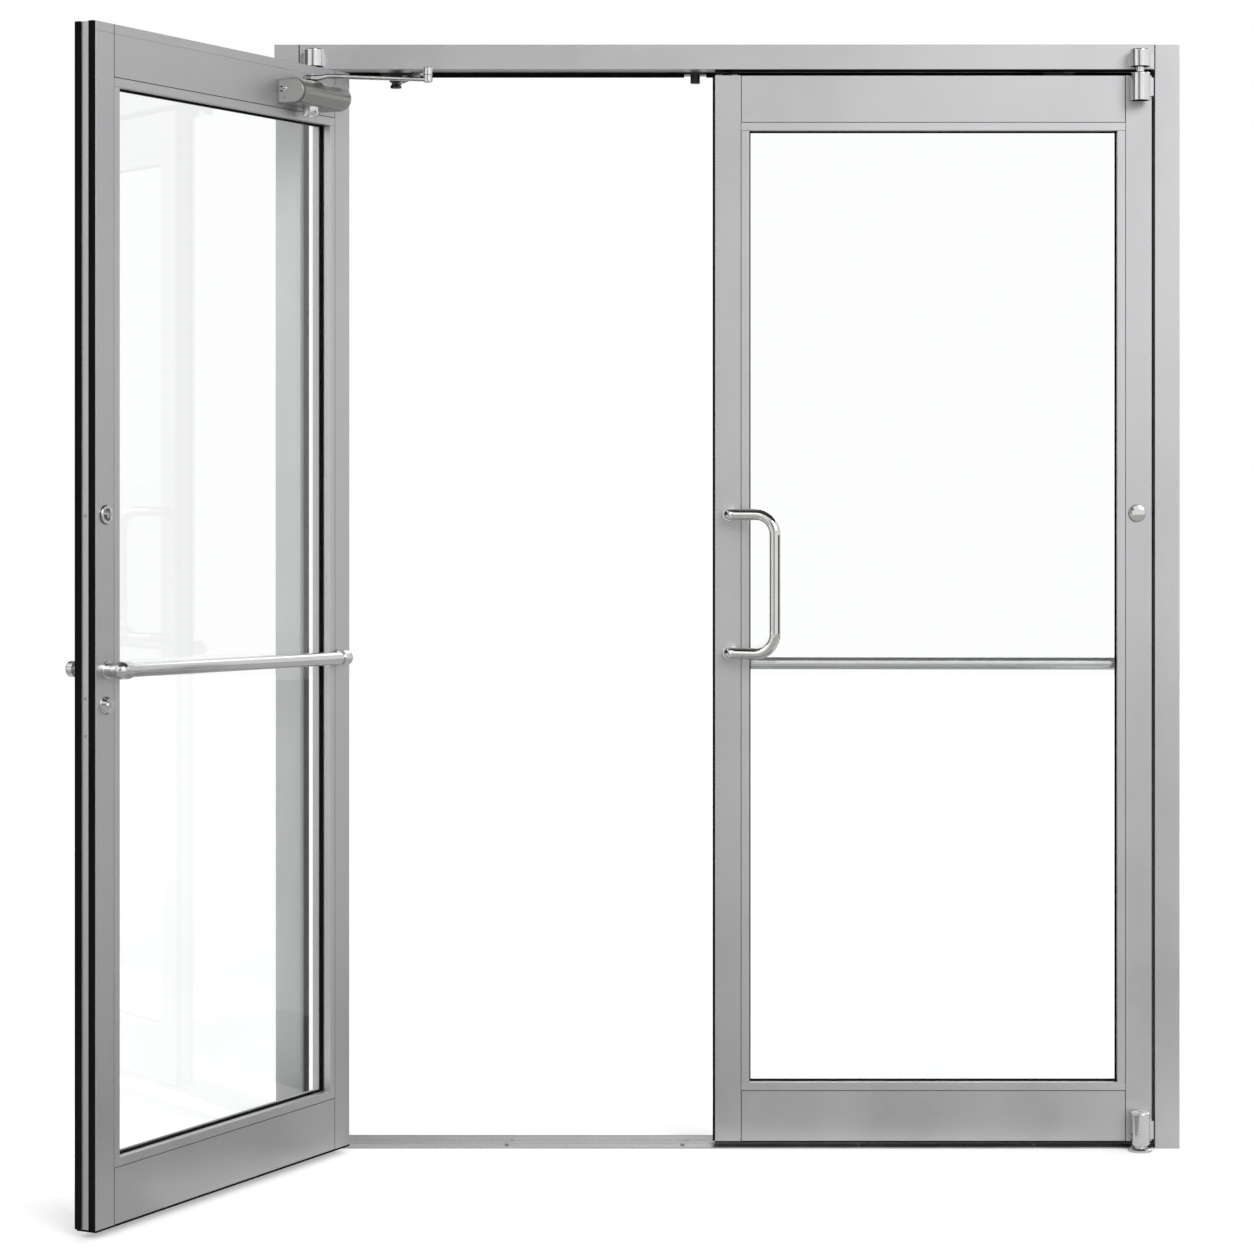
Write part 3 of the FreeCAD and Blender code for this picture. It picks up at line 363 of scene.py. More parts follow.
def dress_cad():
    dress(UPRIGHT, "left_jamb", "right_jamb")
    dress(LEVEL["right"], "header")
    dress(MILL, "threshold")
    dress(BLACK, "frame_seals")
    dress(BLACK_STEEL_AND_SHADE, "header_stops")
    for side in SIDES:
        looks = {
            TURNED: ("top_pivot", "floor_pivot", "pivot_knuckles"),
            UPRIGHT: ("hinge_stile", "meeting_stile"),
            LEVEL[side]: ("top_rail", "bottom_rail"),
            BLACK: ("glazing_gaskets", "meeting_seals", "bottom_sweep"),
            ARM: ("main_arm", "forearm"),
            BEADS: ("glazing_beads",),
            GLASS: ("glass",),
            SATIN[side]: ("push_bar",),
            FITTING: ("push_bar_posts",),
            DISC: ("lock_cylinders",),
            CLOSER: ("closer_body",),
            BLACK_STEEL_AND_SHADE: ("closer_shoe",),
        }
        for material, parts in looks.items():
            dress(material, *(side + "_" + part for part in parts))
    dress(POLISHED, "right_pull_handle")
    dress(FITTING, "left_pull_handle")


# Small forms in mesh code

AROUND = 32
SHARP = math.radians(35)
BAND_FLAT = 0.6
STRIP_CREST = 0.5
Head = namedtuple("Head", "radius proud socket depth ease")
Band = namedtuple("Band", "radius width proud bite")


def ring(bm, place, outline, height):
    """A ring of points at one height; the outline is a radius or gives one for each angle."""
    points = []
    for k in range(AROUND):
        angle = 2 * math.pi * k / AROUND
        radius = outline(angle) if callable(outline) else outline
        point = Vector((radius * math.cos(angle), radius * math.sin(angle), height))
        points.append(bm.verts.new(place @ point))
    return points


def bridge(bm, low, high):
    for k in range(len(low)):
        bm.faces.new((low[k - 1], low[k], high[k], high[k - 1]))


def skinned(bm, rings):
    """A closed skin over rings of points, from the first to the last."""
    for low, high in zip(rings, rings[1:]):
        bridge(bm, low, high)
    bm.faces.new(rings[0])
    bm.faces.new(rings[-1])


def turned_form(bm, place, rows):
    """A closed form from rows of outline and height along the place's Z."""
    skinned(bm, [ring(bm, place, outline, height) for outline, height in rows])


def turned_band(bm, place, band):
    """A fine ring round a turned piece."""
    half = band.width / 2
    inner = band.radius - band.bite
    outer = band.radius + band.proud
    rows = ((inner, -half), (outer, -half * BAND_FLAT), (outer, half * BAND_FLAT), (inner, half))
    rings = [ring(bm, place, outline, height) for outline, height in rows]
    for k in range(len(rings)):
        bridge(bm, rings[k - 1], rings[k])


def hexagon(radius):
    """The outline of a hexagon with a given radius at its corners."""
    sixth = math.pi / 3
    return lambda angle: radius * math.cos(sixth / 2) / math.cos(angle % sixth - sixth / 2)


def slot_outline(half_length, half_width):
    """The outline of a narrow rectangle that lies along the place's X."""
    tiny = 1e-9

    def radius_at(angle):
        to_end = half_length / max(abs(math.cos(angle)), tiny)
        to_side = half_width / max(abs(math.sin(angle)), tiny)
        return min(to_end, to_side)

    return radius_at


def screw(bm, place, head):
    """A screw head with a sunk drive."""
    rows = (
        (head.radius, 0),
        (head.radius, head.proud - head.ease),
        (head.radius - head.ease, head.proud),
        (head.socket, head.proud),
        (head.socket, head.proud - head.depth),
    )
    turned_form(bm, place, rows)


def strip(bm, start, end, outward, width, proud):
    """A fine raised line from start to end on a face."""
    along = (end - start).normalized()
    across = along.cross(outward).normalized() * (width / 2)
    crest = across * STRIP_CREST
    rise = outward * proud
    section = (-across, rise - crest, rise + crest, across)
    skinned(bm, [[bm.verts.new(point + offset) for offset in section] for point in (start, end)])


def joined(name, body, material, forms):
    """One mesh that rides on a body, from forms given as a builder and what it needs."""
    bm = bmesh.new()
    for build, *needs in forms:
        build(bm, *needs)
    bmesh.ops.recalc_face_normals(bm, faces=bm.faces)
    mesh = bpy.data.meshes.new(name)
    bm.to_mesh(mesh)
    bm.free()
    for face in mesh.polygons:
        face.use_smooth = True
    mesh.set_sharp_from_angle(angle=SHARP)
    mesh.materials.append(material)
    piece = bpy.data.objects.new(name, mesh)
    bpy.context.scene.collection.objects.link(piece)
    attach(piece, body)
    return piece


# Joint lines of the frame and the leaves, and a painted shadow on the header's soffit

SEAM_WIDTH = 2.2 * MM
SEAM_PROUD = 0.15 * MM
LEAF_SEAM_WIDTH = 1.6 * MM
BEAD_LINE_WIDTH = 1.0 * MM
SOFFIT_SHADE_EDGES = (-55.0 * MM, -14.0 * MM)
SOFFIT_SHADE_PROUD = 0.3 * MM


def frame_seams():
    """Where the header is fitted between the jambs, on both faces."""
    low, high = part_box("header")
    forms = []
    for x in (low[0], high[0]):
        for y, outward in ((low[1], OUTSIDE), (high[1], INSIDE)):
            ends = (Vector((x, y, z)) for z in (low[2], high[2]))
            forms.append((strip, *ends, outward, SEAM_WIDTH, SEAM_PROUD))
    joined("frame_seams", "frame", DARK_JOINT_AND_SHADE, forms)


def soffit_painted_shade():
    """A black strip on the soffit over the closed leaf: painted shadow where the gap above the leaf lies in
    shade.
    """
    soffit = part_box("header")[0][2]
    front, back = SOFFIT_SHADE_EDGES
    free_x, hinge_x = leaf_edges("right")[:2]
    start, end = (Vector((x, (front + back) / 2, soffit)) for x in (free_x, hinge_x))
    # The strip is painted shadow: black where the gap over the leaf falls in shade.
    form = (strip, start, end, DOWN, back - front, SOFFIT_SHADE_PROUD)
    joined("soffit_painted_shade", "frame", BLACK, [form])


def bead_edges(side):
    """The four sides of the glazing beads' outline, on both faces of the stiles and rails."""
    low, high = leaf_box(side, "glazing_beads")
    front, back = leaf_edges(side)[2:]
    half = BEAD_LINE_WIDTH / 2
    x0, x1, z0, z1 = low.x - half, high.x + half, low.z - half, high.z + half
    corners = ((x0, z0), (x1, z0), (x1, z1), (x0, z1))
    for y, outward in ((front, OUTSIDE), (back, INSIDE)):
        for k in range(4):
            (xa, za), (xb, zb) = corners[k - 1], corners[k]
            yield Vector((xa, y, za)), Vector((xb, y, zb)), outward


def leaf_seams(side):
    """Where the rails meet the stiles and the beads meet both, on both faces."""
    whole = leaf_matrix(side)
    turn = whole.to_3x3()
    forms = []
    for rail in ("top_rail", "bottom_rail"):
        low, high = leaf_box(side, rail)
        for x in (low.x, high.x):
            for y, outward in ((low.y, OUTSIDE), (high.y, INSIDE)):
                ends = (whole @ Vector((x, y, z)) for z in (low.z, high.z))
                forms.append((strip, *ends, turn @ outward, LEAF_SEAM_WIDTH, SEAM_PROUD))
    for start, end, outward in bead_edges(side):
        forms.append((strip, whole @ start, whole @ end, turn @ outward, BEAD_LINE_WIDTH, SEAM_PROUD))
    joined(side + "_leaf_seams", side + "_leaf", DARK_JOINT_AND_SHADE, forms)


# Pivots

PIVOT = Vector(joint_named("right_leaf_swing")["pos_m"])
KNUCKLE_RADIUS = 19.5 * MM
FOOT_KNUCKLE_HEIGHT = 62.0 * MM
RECESS_DEPTH = 6.0 * MM
FOOT_BAND_HEIGHT = 21.0 * MM
FOOT_BAND = Band(radius=KNUCKLE_RADIUS, width=0.5 * MM, proud=0.05 * MM, bite=0.4 * MM)
TOP_SCREW = Head(
    radius=3.8 * MM, proud=3.0 * MM, socket=hexagon(2.2 * MM), depth=2.0 * MM, ease=0.4 * MM
)
SET_SCREW = Head(
    radius=2.6 * MM, proud=0.6 * MM, socket=hexagon(1.5 * MM), depth=0.4 * MM, ease=0.1 * MM
)
SET_SCREW_HEIGHT = 19.0 * MM
SET_SCREW_TURN = math.radians(-67)
SET_SCREW_SINK = 0.4 * MM


def foot_details(side):
    """The knuckle's joint line, the screw in its top and the set screw in its side."""
    bottom = leaf_box(side, "pivot_knuckles")[0].z
    top = bottom + FOOT_KNUCKLE_HEIGHT
    side_way = Vector((math.sin(SET_SCREW_TURN), -math.cos(SET_SCREW_TURN), 0))
    face = PIVOT + side_way * (KNUCKLE_RADIUS - SET_SCREW_SINK)
    band_place = on_leaf(side, PIVOT.x, PIVOT.y, bottom + FOOT_BAND_HEIGHT, UP, INSIDE)
    top_place = on_leaf(side, PIVOT.x, PIVOT.y, top - RECESS_DEPTH, UP, INSIDE)
    side_place = on_leaf(side, face.x, face.y, bottom + SET_SCREW_HEIGHT, side_way)
    forms = [
        (turned_band, band_place, FOOT_BAND),
        (screw, top_place, TOP_SCREW),
        (screw, side_place, SET_SCREW),
    ]
    joined(side + "_foot_screws", side + "_leaf", BLACK_STEEL_AND_SHADE, forms)


# The rows of the thin dark disc painted as shade under each upper knuckle.
UNDERSIDE_SHADE_ROWS = ((17.2 * MM, 0), (17.2 * MM, 0.15 * MM))
KNUCKLE_RIM = (10.0 * MM, 20.0 * MM)
HALF_WAY_UP = 1.0


def knuckle_underside(side, part, axis):
    """The height of the underside of the upper knuckle of a piece."""
    nearest, furthest = KNUCKLE_RIM
    heights = []
    for vertex in frame["nodes"][side + "_" + part].data.vertices:
        reach = math.hypot(vertex.co.x - axis.x, vertex.co.y - axis.y)
        if nearest < reach < furthest and vertex.co.z > HALF_WAY_UP:
            heights.append(vertex.co.z)
    return min(heights)


def knuckle_washers(side):
    """Thin dark discs under the two upper knuckles, as painted shade on their shaded undersides."""
    axis = Vector(joint_named(side + "_leaf_swing")["pos_m"])
    for part, body in (("top_pivot", "frame"), ("pivot_knuckles", side + "_leaf")):
        place = stand(Vector((axis.x, axis.y, knuckle_underside(side, part, axis))), DOWN, INSIDE)
        form = (turned_form, place, UNDERSIDE_SHADE_ROWS)
        joined(side + "_" + part + "_underside_painted_shade", body, BLACK, [form])


# Screws in the threshold and in the leaves' free edges

THRESHOLD_SCREW_XS = [(-84 + 348 * k) * MM for k in range(-2, 3)]
THRESHOLD_SCREW_ROWS = ((-6.5 * MM, 4.0 * MM), (-45.0 * MM, -4.0 * MM))
THRESHOLD_SCREW_SINK = 0.4 * MM
THRESHOLD_SCREW = Head(
    radius=4.2 * MM,
    proud=0.8 * MM,
    socket=slot_outline(3.0 * MM, 0.6 * MM),
    depth=0.6 * MM,
    ease=0.3 * MM,
)


def threshold_screws():
    """Countersunk screws in pairs along the threshold."""
    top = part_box("threshold")[1][2]
    forms = []
    for x in THRESHOLD_SCREW_XS:
        for y, shift in THRESHOLD_SCREW_ROWS:
            place = stand(Vector((x + shift, y, top - THRESHOLD_SCREW_SINK)), UP, INSIDE)
            forms.append((screw, place, THRESHOLD_SCREW))
    joined("threshold_screws", "frame", SCREW, forms)


EDGE_SCREWS_ABOVE_KEY = (-53.0 * MM, 13.0 * MM)
EDGE_SCREW_THUMB_Z = 1260.0 * MM
EDGE_SCREW_SINK = 0.2 * MM
EDGE_SCREW = Head(
    radius=2.4 * MM, proud=0.35 * MM, socket=hexagon(1.6 * MM), depth=0.3 * MM, ease=0.1 * MM
)
BAR_FREE_HEIGHT = {"right": 956.5 * MM, "left": 990.0 * MM}
KEY_BELOW_BAR = 62.0 * MM


def edge_screws(side):
    """The locks' set screws in the leaf's free edge, between its two seals."""
    free_x, _, front, back = leaf_edges(side)
    key_z = BAR_FREE_HEIGHT[side] - KEY_BELOW_BAR
    heights = [key_z + above for above in EDGE_SCREWS_ABOVE_KEY] + [EDGE_SCREW_THUMB_Z]
    forms = []
    for z in heights:
        place = on_leaf(side, free_x + EDGE_SCREW_SINK, (front + back) / 2, z, FREE_WAY)
        forms.append((screw, place, EDGE_SCREW))
    joined(side + "_edge_screws", side + "_leaf", BLACK_STEEL_AND_SHADE, forms)


# Locks

LOCK_SET_IN = 29.0 * MM
LOCK_RADIUS = 16.5 * MM
# The dark band at the foot of the outer cylinder and the thumb-turn is painted shade.
LOCK_SHADE_BAND_OUT = 0.6 * MM
LOCK_SHADE_BAND = Band(radius=LOCK_RADIUS, width=1.2 * MM, proud=0.6 * MM, bite=0.5 * MM)
KEY_PLUG_FACE = 9.5 * MM
KEYWAY = slot_outline(3.4 * MM, 0.75 * MM)
KEYWAY_FLOOR = 0.12 * MM
KEY_PLUG = Head(radius=6.6 * MM, proud=0.5 * MM, socket=KEYWAY, depth=0.45 * MM, ease=0.2 * MM)
OUTER_RING_FACE = 4.5 * MM
OUTER_CYLINDER_Z = 1257.0 * MM
DOME_RADIUS = 15.3 * MM
DOME_RISE = 2.2 * MM
DOME_SINK = 0.2 * MM
DOME_SHARES = (1.0, 0.92, 0.8, 0.66, 0.5, 0.34, 0.18, 0.04)
THUMB_TURN_Z = 1262.0 * MM
THUMB_RECESS_FACE = 2.5 * MM
THUMB_RECESS_RADIUS = 11.4 * MM
THUMB_HUB_RADIUS = 6.0 * MM
THUMB_WASHER = Band(
    radius=THUMB_RECESS_RADIUS, width=0.2 * MM, proud=0, bite=THUMB_RECESS_RADIUS - THUMB_HUB_RADIUS
)


def key_faces(side):
    """A rimmed face with a keyway on the inner plug, the keyway's dark floor being painted shade."""
    free_x, _, _, back = leaf_edges(side)
    key_z = BAR_FREE_HEIGHT[side] - KEY_BELOW_BAR
    place = on_leaf(side, free_x + LOCK_SET_IN, back + KEY_PLUG_FACE, key_z, INSIDE, FREE_WAY)
    joined(side + "_key_face", side + "_leaf", DISC, [(screw, place, KEY_PLUG)])
    # The thin black floor in the keyway is painted shade.
    keyway_shade = (turned_form, place, ((KEYWAY, 0), (KEYWAY, KEYWAY_FLOOR)))
    joined(side + "_keyway", side + "_leaf", BLACK_STEEL_AND_SHADE, [keyway_shade])


def lock_faces(side):
    """The outer cylinder's polished cover, the thumb-turn's dark recess, and a dark band round both as
    painted shade at their feet.
    """
    free_x, hinge_x, front, back = leaf_edges(side)
    body = side + "_leaf"

    def outer_place(out):
        return on_leaf(side, hinge_x - LOCK_SET_IN, front - out, OUTER_CYLINDER_Z, OUTSIDE, FREE_WAY)

    def thumb_place(out):
        return on_leaf(side, free_x + LOCK_SET_IN, back + out, THUMB_TURN_Z, INSIDE, FREE_WAY)

    rows = [(DOME_RADIUS, -DOME_SINK)]
    rows += [(DOME_RADIUS * share, DOME_RISE * (1 - share * share)) for share in DOME_SHARES]
    cover = (turned_form, outer_place(OUTER_RING_FACE), rows)
    joined(side + "_outer_cover", body, POLISHED, [cover])
    washer = (turned_band, thumb_place(THUMB_RECESS_FACE), THUMB_WASHER)
    joined(side + "_thumb_recess", body, RECESS, [washer])
    # The dark bands round both cylinders are painted shade.
    lines = [(turned_band, place(LOCK_SHADE_BAND_OUT), LOCK_SHADE_BAND) for place in (outer_place, thumb_place)]
    joined(side + "_lock_painted_shade", body, DARK_JOINT_AND_SHADE, lines)


# Push bar elbows

NECK_BAND_OUT = 15.0 * MM
NECK_BAND = Band(radius=12.7 * MM, width=0.6 * MM, proud=0.1 * MM, bite=0.4 * MM)
COLLAR_BAND_ALONG = 4.5 * MM
COLLAR_BAND = Band(radius=15.75 * MM, width=0.5 * MM, proud=0.06 * MM, bite=0.4 * MM)
FREE_STAND_OFF = 32.0 * MM
FREE_POST_INSET = 32.0 * MM
HINGE_POST_INSET = 42.0 * MM
HINGE_STAND_OFF = 16.8 * MM
BAR_HINGE_HEIGHT = {"right": 956.5 * MM, "left": 975.0 * MM}


def elbow_bands(side):
    """The dark joint lines where each elbow is screwed to its neck and its collar."""
    free_x, hinge_x, _, back = leaf_edges(side)
    free = Vector((free_x + FREE_POST_INSET, back + FREE_STAND_OFF, BAR_FREE_HEIGHT[side]))
    hinge = Vector((hinge_x - HINGE_POST_INSET, back + HINGE_STAND_OFF, BAR_HINGE_HEIGHT[side]))
    run = (hinge - free).normalized()
    forms = []
    for corner, way in ((free, run), (hinge, -run)):
        collar = on_leaf(side, *(corner + way * COLLAR_BAND_ALONG), way)
        forms.append((turned_band, collar, COLLAR_BAND))
    neck = on_leaf(side, free.x, back + NECK_BAND_OUT, free.z, INSIDE)
    forms.append((turned_band, neck, NECK_BAND))
    joined(side + "_elbow_bands", side + "_leaf", BLACK_STEEL_AND_SHADE, forms)


# Closers

CLOSER_HEIGHT = 48.0 * MM
CLOSER_PROJECTION = 60.0 * MM
CAP_PLATE_INSET = 2.4 * MM
CAP_PLATE_PROUD = 0.9 * MM
CAP_PLATE_EASE = 0.7 * MM
CAP_FIXINGS_OUT = 7.5 * MM
# The fixings' slots, the small hole and the valve's slot are drawn as thin black marks, as painted shade.
CAP_SLOT_RISES = (8.6 * MM, 0.4 * MM)
MARK_PROUD = 0.15 * MM
CAP_SLOT_SHADE_ROWS = (
    (slot_outline(3.4 * MM, 1.2 * MM), 0),
    (slot_outline(3.2 * MM, 1.0 * MM), MARK_PROUD),
)
SMALL_HOLE_OUT = 14.5 * MM
SMALL_HOLE_DROP = 13.5 * MM
SMALL_HOLE_SHADE_ROWS = ((1.3 * MM, 0), (1.2 * MM, MARK_PROUD))
VALVE_OUT = 16.5 * MM
VALVE_RISE = 4.2 * MM
VALVE_SLOT = slot_outline(3.0 * MM, 0.6 * MM)
VALVE_SLOT_SHADE_ROWS = ((VALVE_SLOT, 0.8 * MM), (VALVE_SLOT, 1.06 * MM))
VALVE = Head(radius=4.2 * MM, proud=1.0 * MM, socket=2.9 * MM, depth=0.25 * MM, ease=0.4 * MM)
SPINDLE = Vector(joint_named("right_main_arm_turn")["pos_m"])
BOSS_RADIUS = 15.0 * MM
BOSS_HEIGHT = 17.8 * MM
BOSS_EDGE_RISE = 2.1 * MM
BOSS_EDGE_DRAW = 1.3 * MM
BOSS_SOCKET = hexagon(5.0 * MM)
BOSS_SOCKET_DEPTH = 0.2 * MM
BOSS_ROWS = (
    (BOSS_RADIUS, 0),
    (BOSS_RADIUS, BOSS_HEIGHT - BOSS_EDGE_RISE),
    (BOSS_RADIUS - BOSS_EDGE_DRAW, BOSS_HEIGHT),
    (BOSS_SOCKET, BOSS_HEIGHT),
    (BOSS_SOCKET, BOSS_HEIGHT - BOSS_SOCKET_DEPTH),
)


def closer_axis(side):
    """The free end's x, the leaf's face and the height of the closer's middle."""
    low, high = leaf_box(side, "closer_body")
    return low.x, low.y, high.z - CLOSER_HEIGHT / 2


def cap_plate(bm, side):
    """The D-shaped plate on the closer's free end, with eased edges."""
    end_x, face_y, middle_z = closer_axis(side)
    shoulder = face_y + CLOSER_PROJECTION - CLOSER_HEIGHT / 2
    half_turn = AROUND // 2
    levels = ((0.0, 0.0), (CAP_PLATE_PROUD - CAP_PLATE_EASE, 0.0), (CAP_PLATE_PROUD, CAP_PLATE_EASE))
    rings = []
    for depth, draw in levels:
        radius = CLOSER_HEIGHT / 2 - CAP_PLATE_INSET - draw
        near = face_y + CAP_PLATE_INSET + draw
        outline = [(near, -radius), (shoulder, -radius)]
        for k in range(1, half_turn):
            angle = -math.pi / 2 + math.pi * k / half_turn
            outline.append((shoulder + radius * math.cos(angle), radius * math.sin(angle)))
        outline += [(shoulder, radius), (near, radius)]
        points = [leaf_matrix(side) @ Vector((end_x - depth, y, middle_z + z)) for y, z in outline]
        rings.append([bm.verts.new(point) for point in points])
    skinned(bm, rings)


def closer_details(side):
    """The cap's plate with its fixings and valve, black marks as painted shade for their slots and small
    hole, and the bright boss under the spindle.
    """
    end_x, face_y, middle_z = closer_axis(side)
    body = side + "_leaf"

    def cap_place(out, rise):
        return on_leaf(side, end_x - CAP_PLATE_PROUD, face_y + out, middle_z + rise, FREE_WAY)

    valve = cap_place(VALVE_OUT, VALVE_RISE)
    boss = on_leaf(side, SPINDLE.x, SPINDLE.y, middle_z - CLOSER_HEIGHT / 2, DOWN, INSIDE)
    # Black marks that stand for the slots and the small hole: painted shade.
    painted_slot_shade = [(turned_form, cap_place(CAP_FIXINGS_OUT, rise), CAP_SLOT_SHADE_ROWS) for rise in CAP_SLOT_RISES]
    painted_slot_shade.append((turned_form, cap_place(SMALL_HOLE_OUT, -SMALL_HOLE_DROP), SMALL_HOLE_SHADE_ROWS))
    painted_slot_shade.append((turned_form, valve, VALVE_SLOT_SHADE_ROWS))
    bright = [(screw, valve, VALVE), (turned_form, boss, BOSS_ROWS)]
    joined(side + "_closer_cap", body, CAP, [(cap_plate, side)])
    joined(side + "_closer_slots", body, BLACK_STEEL_AND_SHADE, painted_slot_shade)
    joined(side + "_closer_bright", body, TURNED, bright)


# Closer arms

ARM_TOP = 2101.0 * MM
ARM_THICKNESS = 7.0 * MM
ARM_EDGE = 2.0 * MM
ARM_STATIONS = 22
ROOT_WIDTH = 27.0 * MM
MIDDLE_WIDTH = 19.0 * MM
TIP_WIDTH = 12.0 * MM
WAIST_END = 0.35
NECK_THICKNESS = 10.0 * MM
NECK_START = 0.04
NECK_END = 0.16
NECK_DROP = 0.5 * MM
EYE_RADIUS = 14.0 * MM
EYE_GAP = 2.0 * MM
EYE_HEIGHT = 10.5 * MM
EYE_EASE = 2.2 * MM
EYE_RIM = 4.5 * MM
EYE_DISH = 0.8 * MM
EYE_ROWS = (
    (EYE_RADIUS - EYE_EASE, 0),
    (EYE_RADIUS, EYE_EASE),
    (EYE_RADIUS, EYE_HEIGHT - EYE_EASE),
    (EYE_RADIUS - EYE_EASE, EYE_HEIGHT),
    (EYE_RADIUS - EYE_RIM, EYE_HEIGHT),
    (EYE_RADIUS - EYE_RIM, EYE_HEIGHT - EYE_DISH),
)
SHAFT_RADIUS = 8.0 * MM
SHAFT_ROWS = ((SHAFT_RADIUS, -EYE_GAP - 12.0 * MM), (SHAFT_RADIUS, 1.0 * MM))
SPINDLE_HEAD = hexagon(8.0 * MM)
SPINDLE_HEAD_ROWS = ((SPINDLE_HEAD, 0), (SPINDLE_HEAD, 2.8 * MM), (hexagon(7.4 * MM), 3.3 * MM))
BARREL_RADIUS = 9.0 * MM
BARREL_BELOW_ARM = 1.0 * MM
BARREL_FOOT_EASE = 1.0 * MM
BARREL_TOP_EASE = 0.6 * MM
RIM_REACH = 0.2 * MM
BARREL_FAR = 100.0 * MM
ELBOW_SCREW = Head(
    radius=6.2 * MM, proud=1.4 * MM, socket=hexagon(2.6 * MM), depth=1.1 * MM, ease=0.4 * MM
)
SHELL_RADIUS = BARREL_RADIUS + 0.1 * MM
SHELL_LIFT = 0.7 * MM
SHELL_EDGE_DROP = 0.8 * MM
SHELL_TOP_RADIUS = BARREL_RADIUS - 0.6 * MM
SHELL_PROUD = 0.1 * MM
SHELL_SOCKET = hexagon(3.0 * MM)
SHELL_SOCKET_FLOOR = 0.02 * MM


def barrel_centre(node, level, start):
    """The middle, seen from above, of the arm's far barrel, from its rim at a level."""
    places = [vertex.co for vertex in frame["nodes"][node].data.vertices]
    flat = [Vector((place.x, place.y, 0)) for place in places if abs(place.z - level) < RIM_REACH]
    rim = [point for point in flat if (point - start).length > BARREL_FAR]
    middle_x = (min(point.x for point in rim) + max(point.x for point in rim)) / 2
    middle_y = (min(point.y for point in rim) + max(point.y for point in rim)) / 2
    return Vector((middle_x, middle_y, 0))


def smooth(share):
    """A share taken from 0 to 1 with level ends."""
    share = min(max(share, 0.0), 1.0)
    return share * share * (3 - 2 * share)


def arm_section(bm, centre, across, width, bottom, top):
    """One eight-sided section of a forged arm."""
    half = width / 2
    edge = min(ARM_EDGE, (top - bottom) / 3)
    outline = (
        (-half, bottom + edge),
        (-half + edge, bottom),
        (half - edge, bottom),
        (half, bottom + edge),
        (half, top - edge),
        (half - edge, top),
        (-half + edge, top),
        (-half, top - edge),
    )
    return [bm.verts.new(centre + across * offset + UP * height) for offset, height in outline]


def forged_arm(bm, start, end, eye_bottom):
    """The bar from the spindle's eye, swan-necked up to its level run and tapered to the elbow."""
    across = (end - start).normalized().cross(UP)
    neck_top = eye_bottom + EYE_HEIGHT - NECK_DROP
    sections = []
    for k in range(ARM_STATIONS + 1):
        share = k / ARM_STATIONS
        rise = smooth((share - NECK_START) / (NECK_END - NECK_START))
        waist = smooth(share / WAIST_END)
        thickness = NECK_THICKNESS + (ARM_THICKNESS - NECK_THICKNESS) * rise
        top = neck_top * (1 - rise) + ARM_TOP * rise
        width = ROOT_WIDTH + (MIDDLE_WIDTH - ROOT_WIDTH) * waist + (TIP_WIDTH - MIDDLE_WIDTH) * share
        sections.append(arm_section(bm, start + (end - start) * share, across, width, top - thickness, top))
    skinned(bm, sections)


def arm_details(side):
    """The forged main arm in place of the plain one, and the elbow's bright halves and screws."""
    node = side + "_main_arm"
    spindle = Vector(joint_named(side + "_main_arm_turn")["pos_m"])
    start = Vector((spindle.x, spindle.y, 0))
    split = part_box(node)[1][2]
    cap_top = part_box(side + "_forearm")[1][2]
    elbow = barrel_centre(node, split, start)
    along = (elbow - start).normalized()
    eye_bottom = closer_axis(side)[2] + CLOSER_HEIGHT / 2 + EYE_GAP
    foot = ARM_TOP - ARM_THICKNESS - BARREL_BELOW_ARM
    eye = stand(start + UP * eye_bottom, UP, along)
    spindle_head = stand(start + UP * (eye_bottom + EYE_HEIGHT - EYE_DISH), UP, along)
    barrel, under = (stand(elbow + UP * foot, way, along) for way in (UP, DOWN))
    cap = stand(elbow + UP * cap_top, UP, along)
    barrel_rows = (
        (BARREL_RADIUS - BARREL_FOOT_EASE, 0),
        (BARREL_RADIUS, BARREL_FOOT_EASE),
        (BARREL_RADIUS, split - foot - BARREL_TOP_EASE),
        (BARREL_RADIUS - BARREL_TOP_EASE, split - foot),
    )
    shell_rows = (
        (SHELL_RADIUS, split - cap_top + SHELL_LIFT),
        (SHELL_RADIUS, -SHELL_EDGE_DROP),
        (SHELL_TOP_RADIUS, SHELL_PROUD),
        (SHELL_SOCKET, SHELL_PROUD),
        (SHELL_SOCKET, SHELL_SOCKET_FLOOR),
    )
    dark = [
        (turned_form, eye, EYE_ROWS),
        (turned_form, eye, SHAFT_ROWS),
        (forged_arm, start, elbow, eye_bottom),
    ]
    bright = [
        (turned_form, barrel, barrel_rows),
        (screw, under, ELBOW_SCREW),
        (turned_form, spindle_head, SPINDLE_HEAD_ROWS),
    ]
    shell = [(turned_form, cap, shell_rows)]
    arm = joined(side + "_forged_arm", node, ARM, dark)
    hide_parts(node)
    joined(side + "_elbow_barrel", node, TURNED, bright)
    joined(side + "_elbow_cap", side + "_forearm", TURNED, shell)


def all_details():
    frame_seams()
    soffit_painted_shade()
    threshold_screws()
    for side in SIDES:
        leaf_seams(side)
        foot_details(side)
        knuckle_washers(side)
        edge_screws(side)
        key_faces(side)
        lock_faces(side)
        elbow_bands(side)
        closer_details(side)
        arm_details(side)


# Stage

WORLD_LIGHT = 0.55
FLOOR_HALF = 15.0
FLOOR_LEVEL = 0.80
FLOOR_ROUGHNESS = 0.9
FLOOR_GLOW = 0.34
STAGE_RADIUS = 7.0
LEVEL_CARD_Z = 0.01
CEILING_Z = 4.3


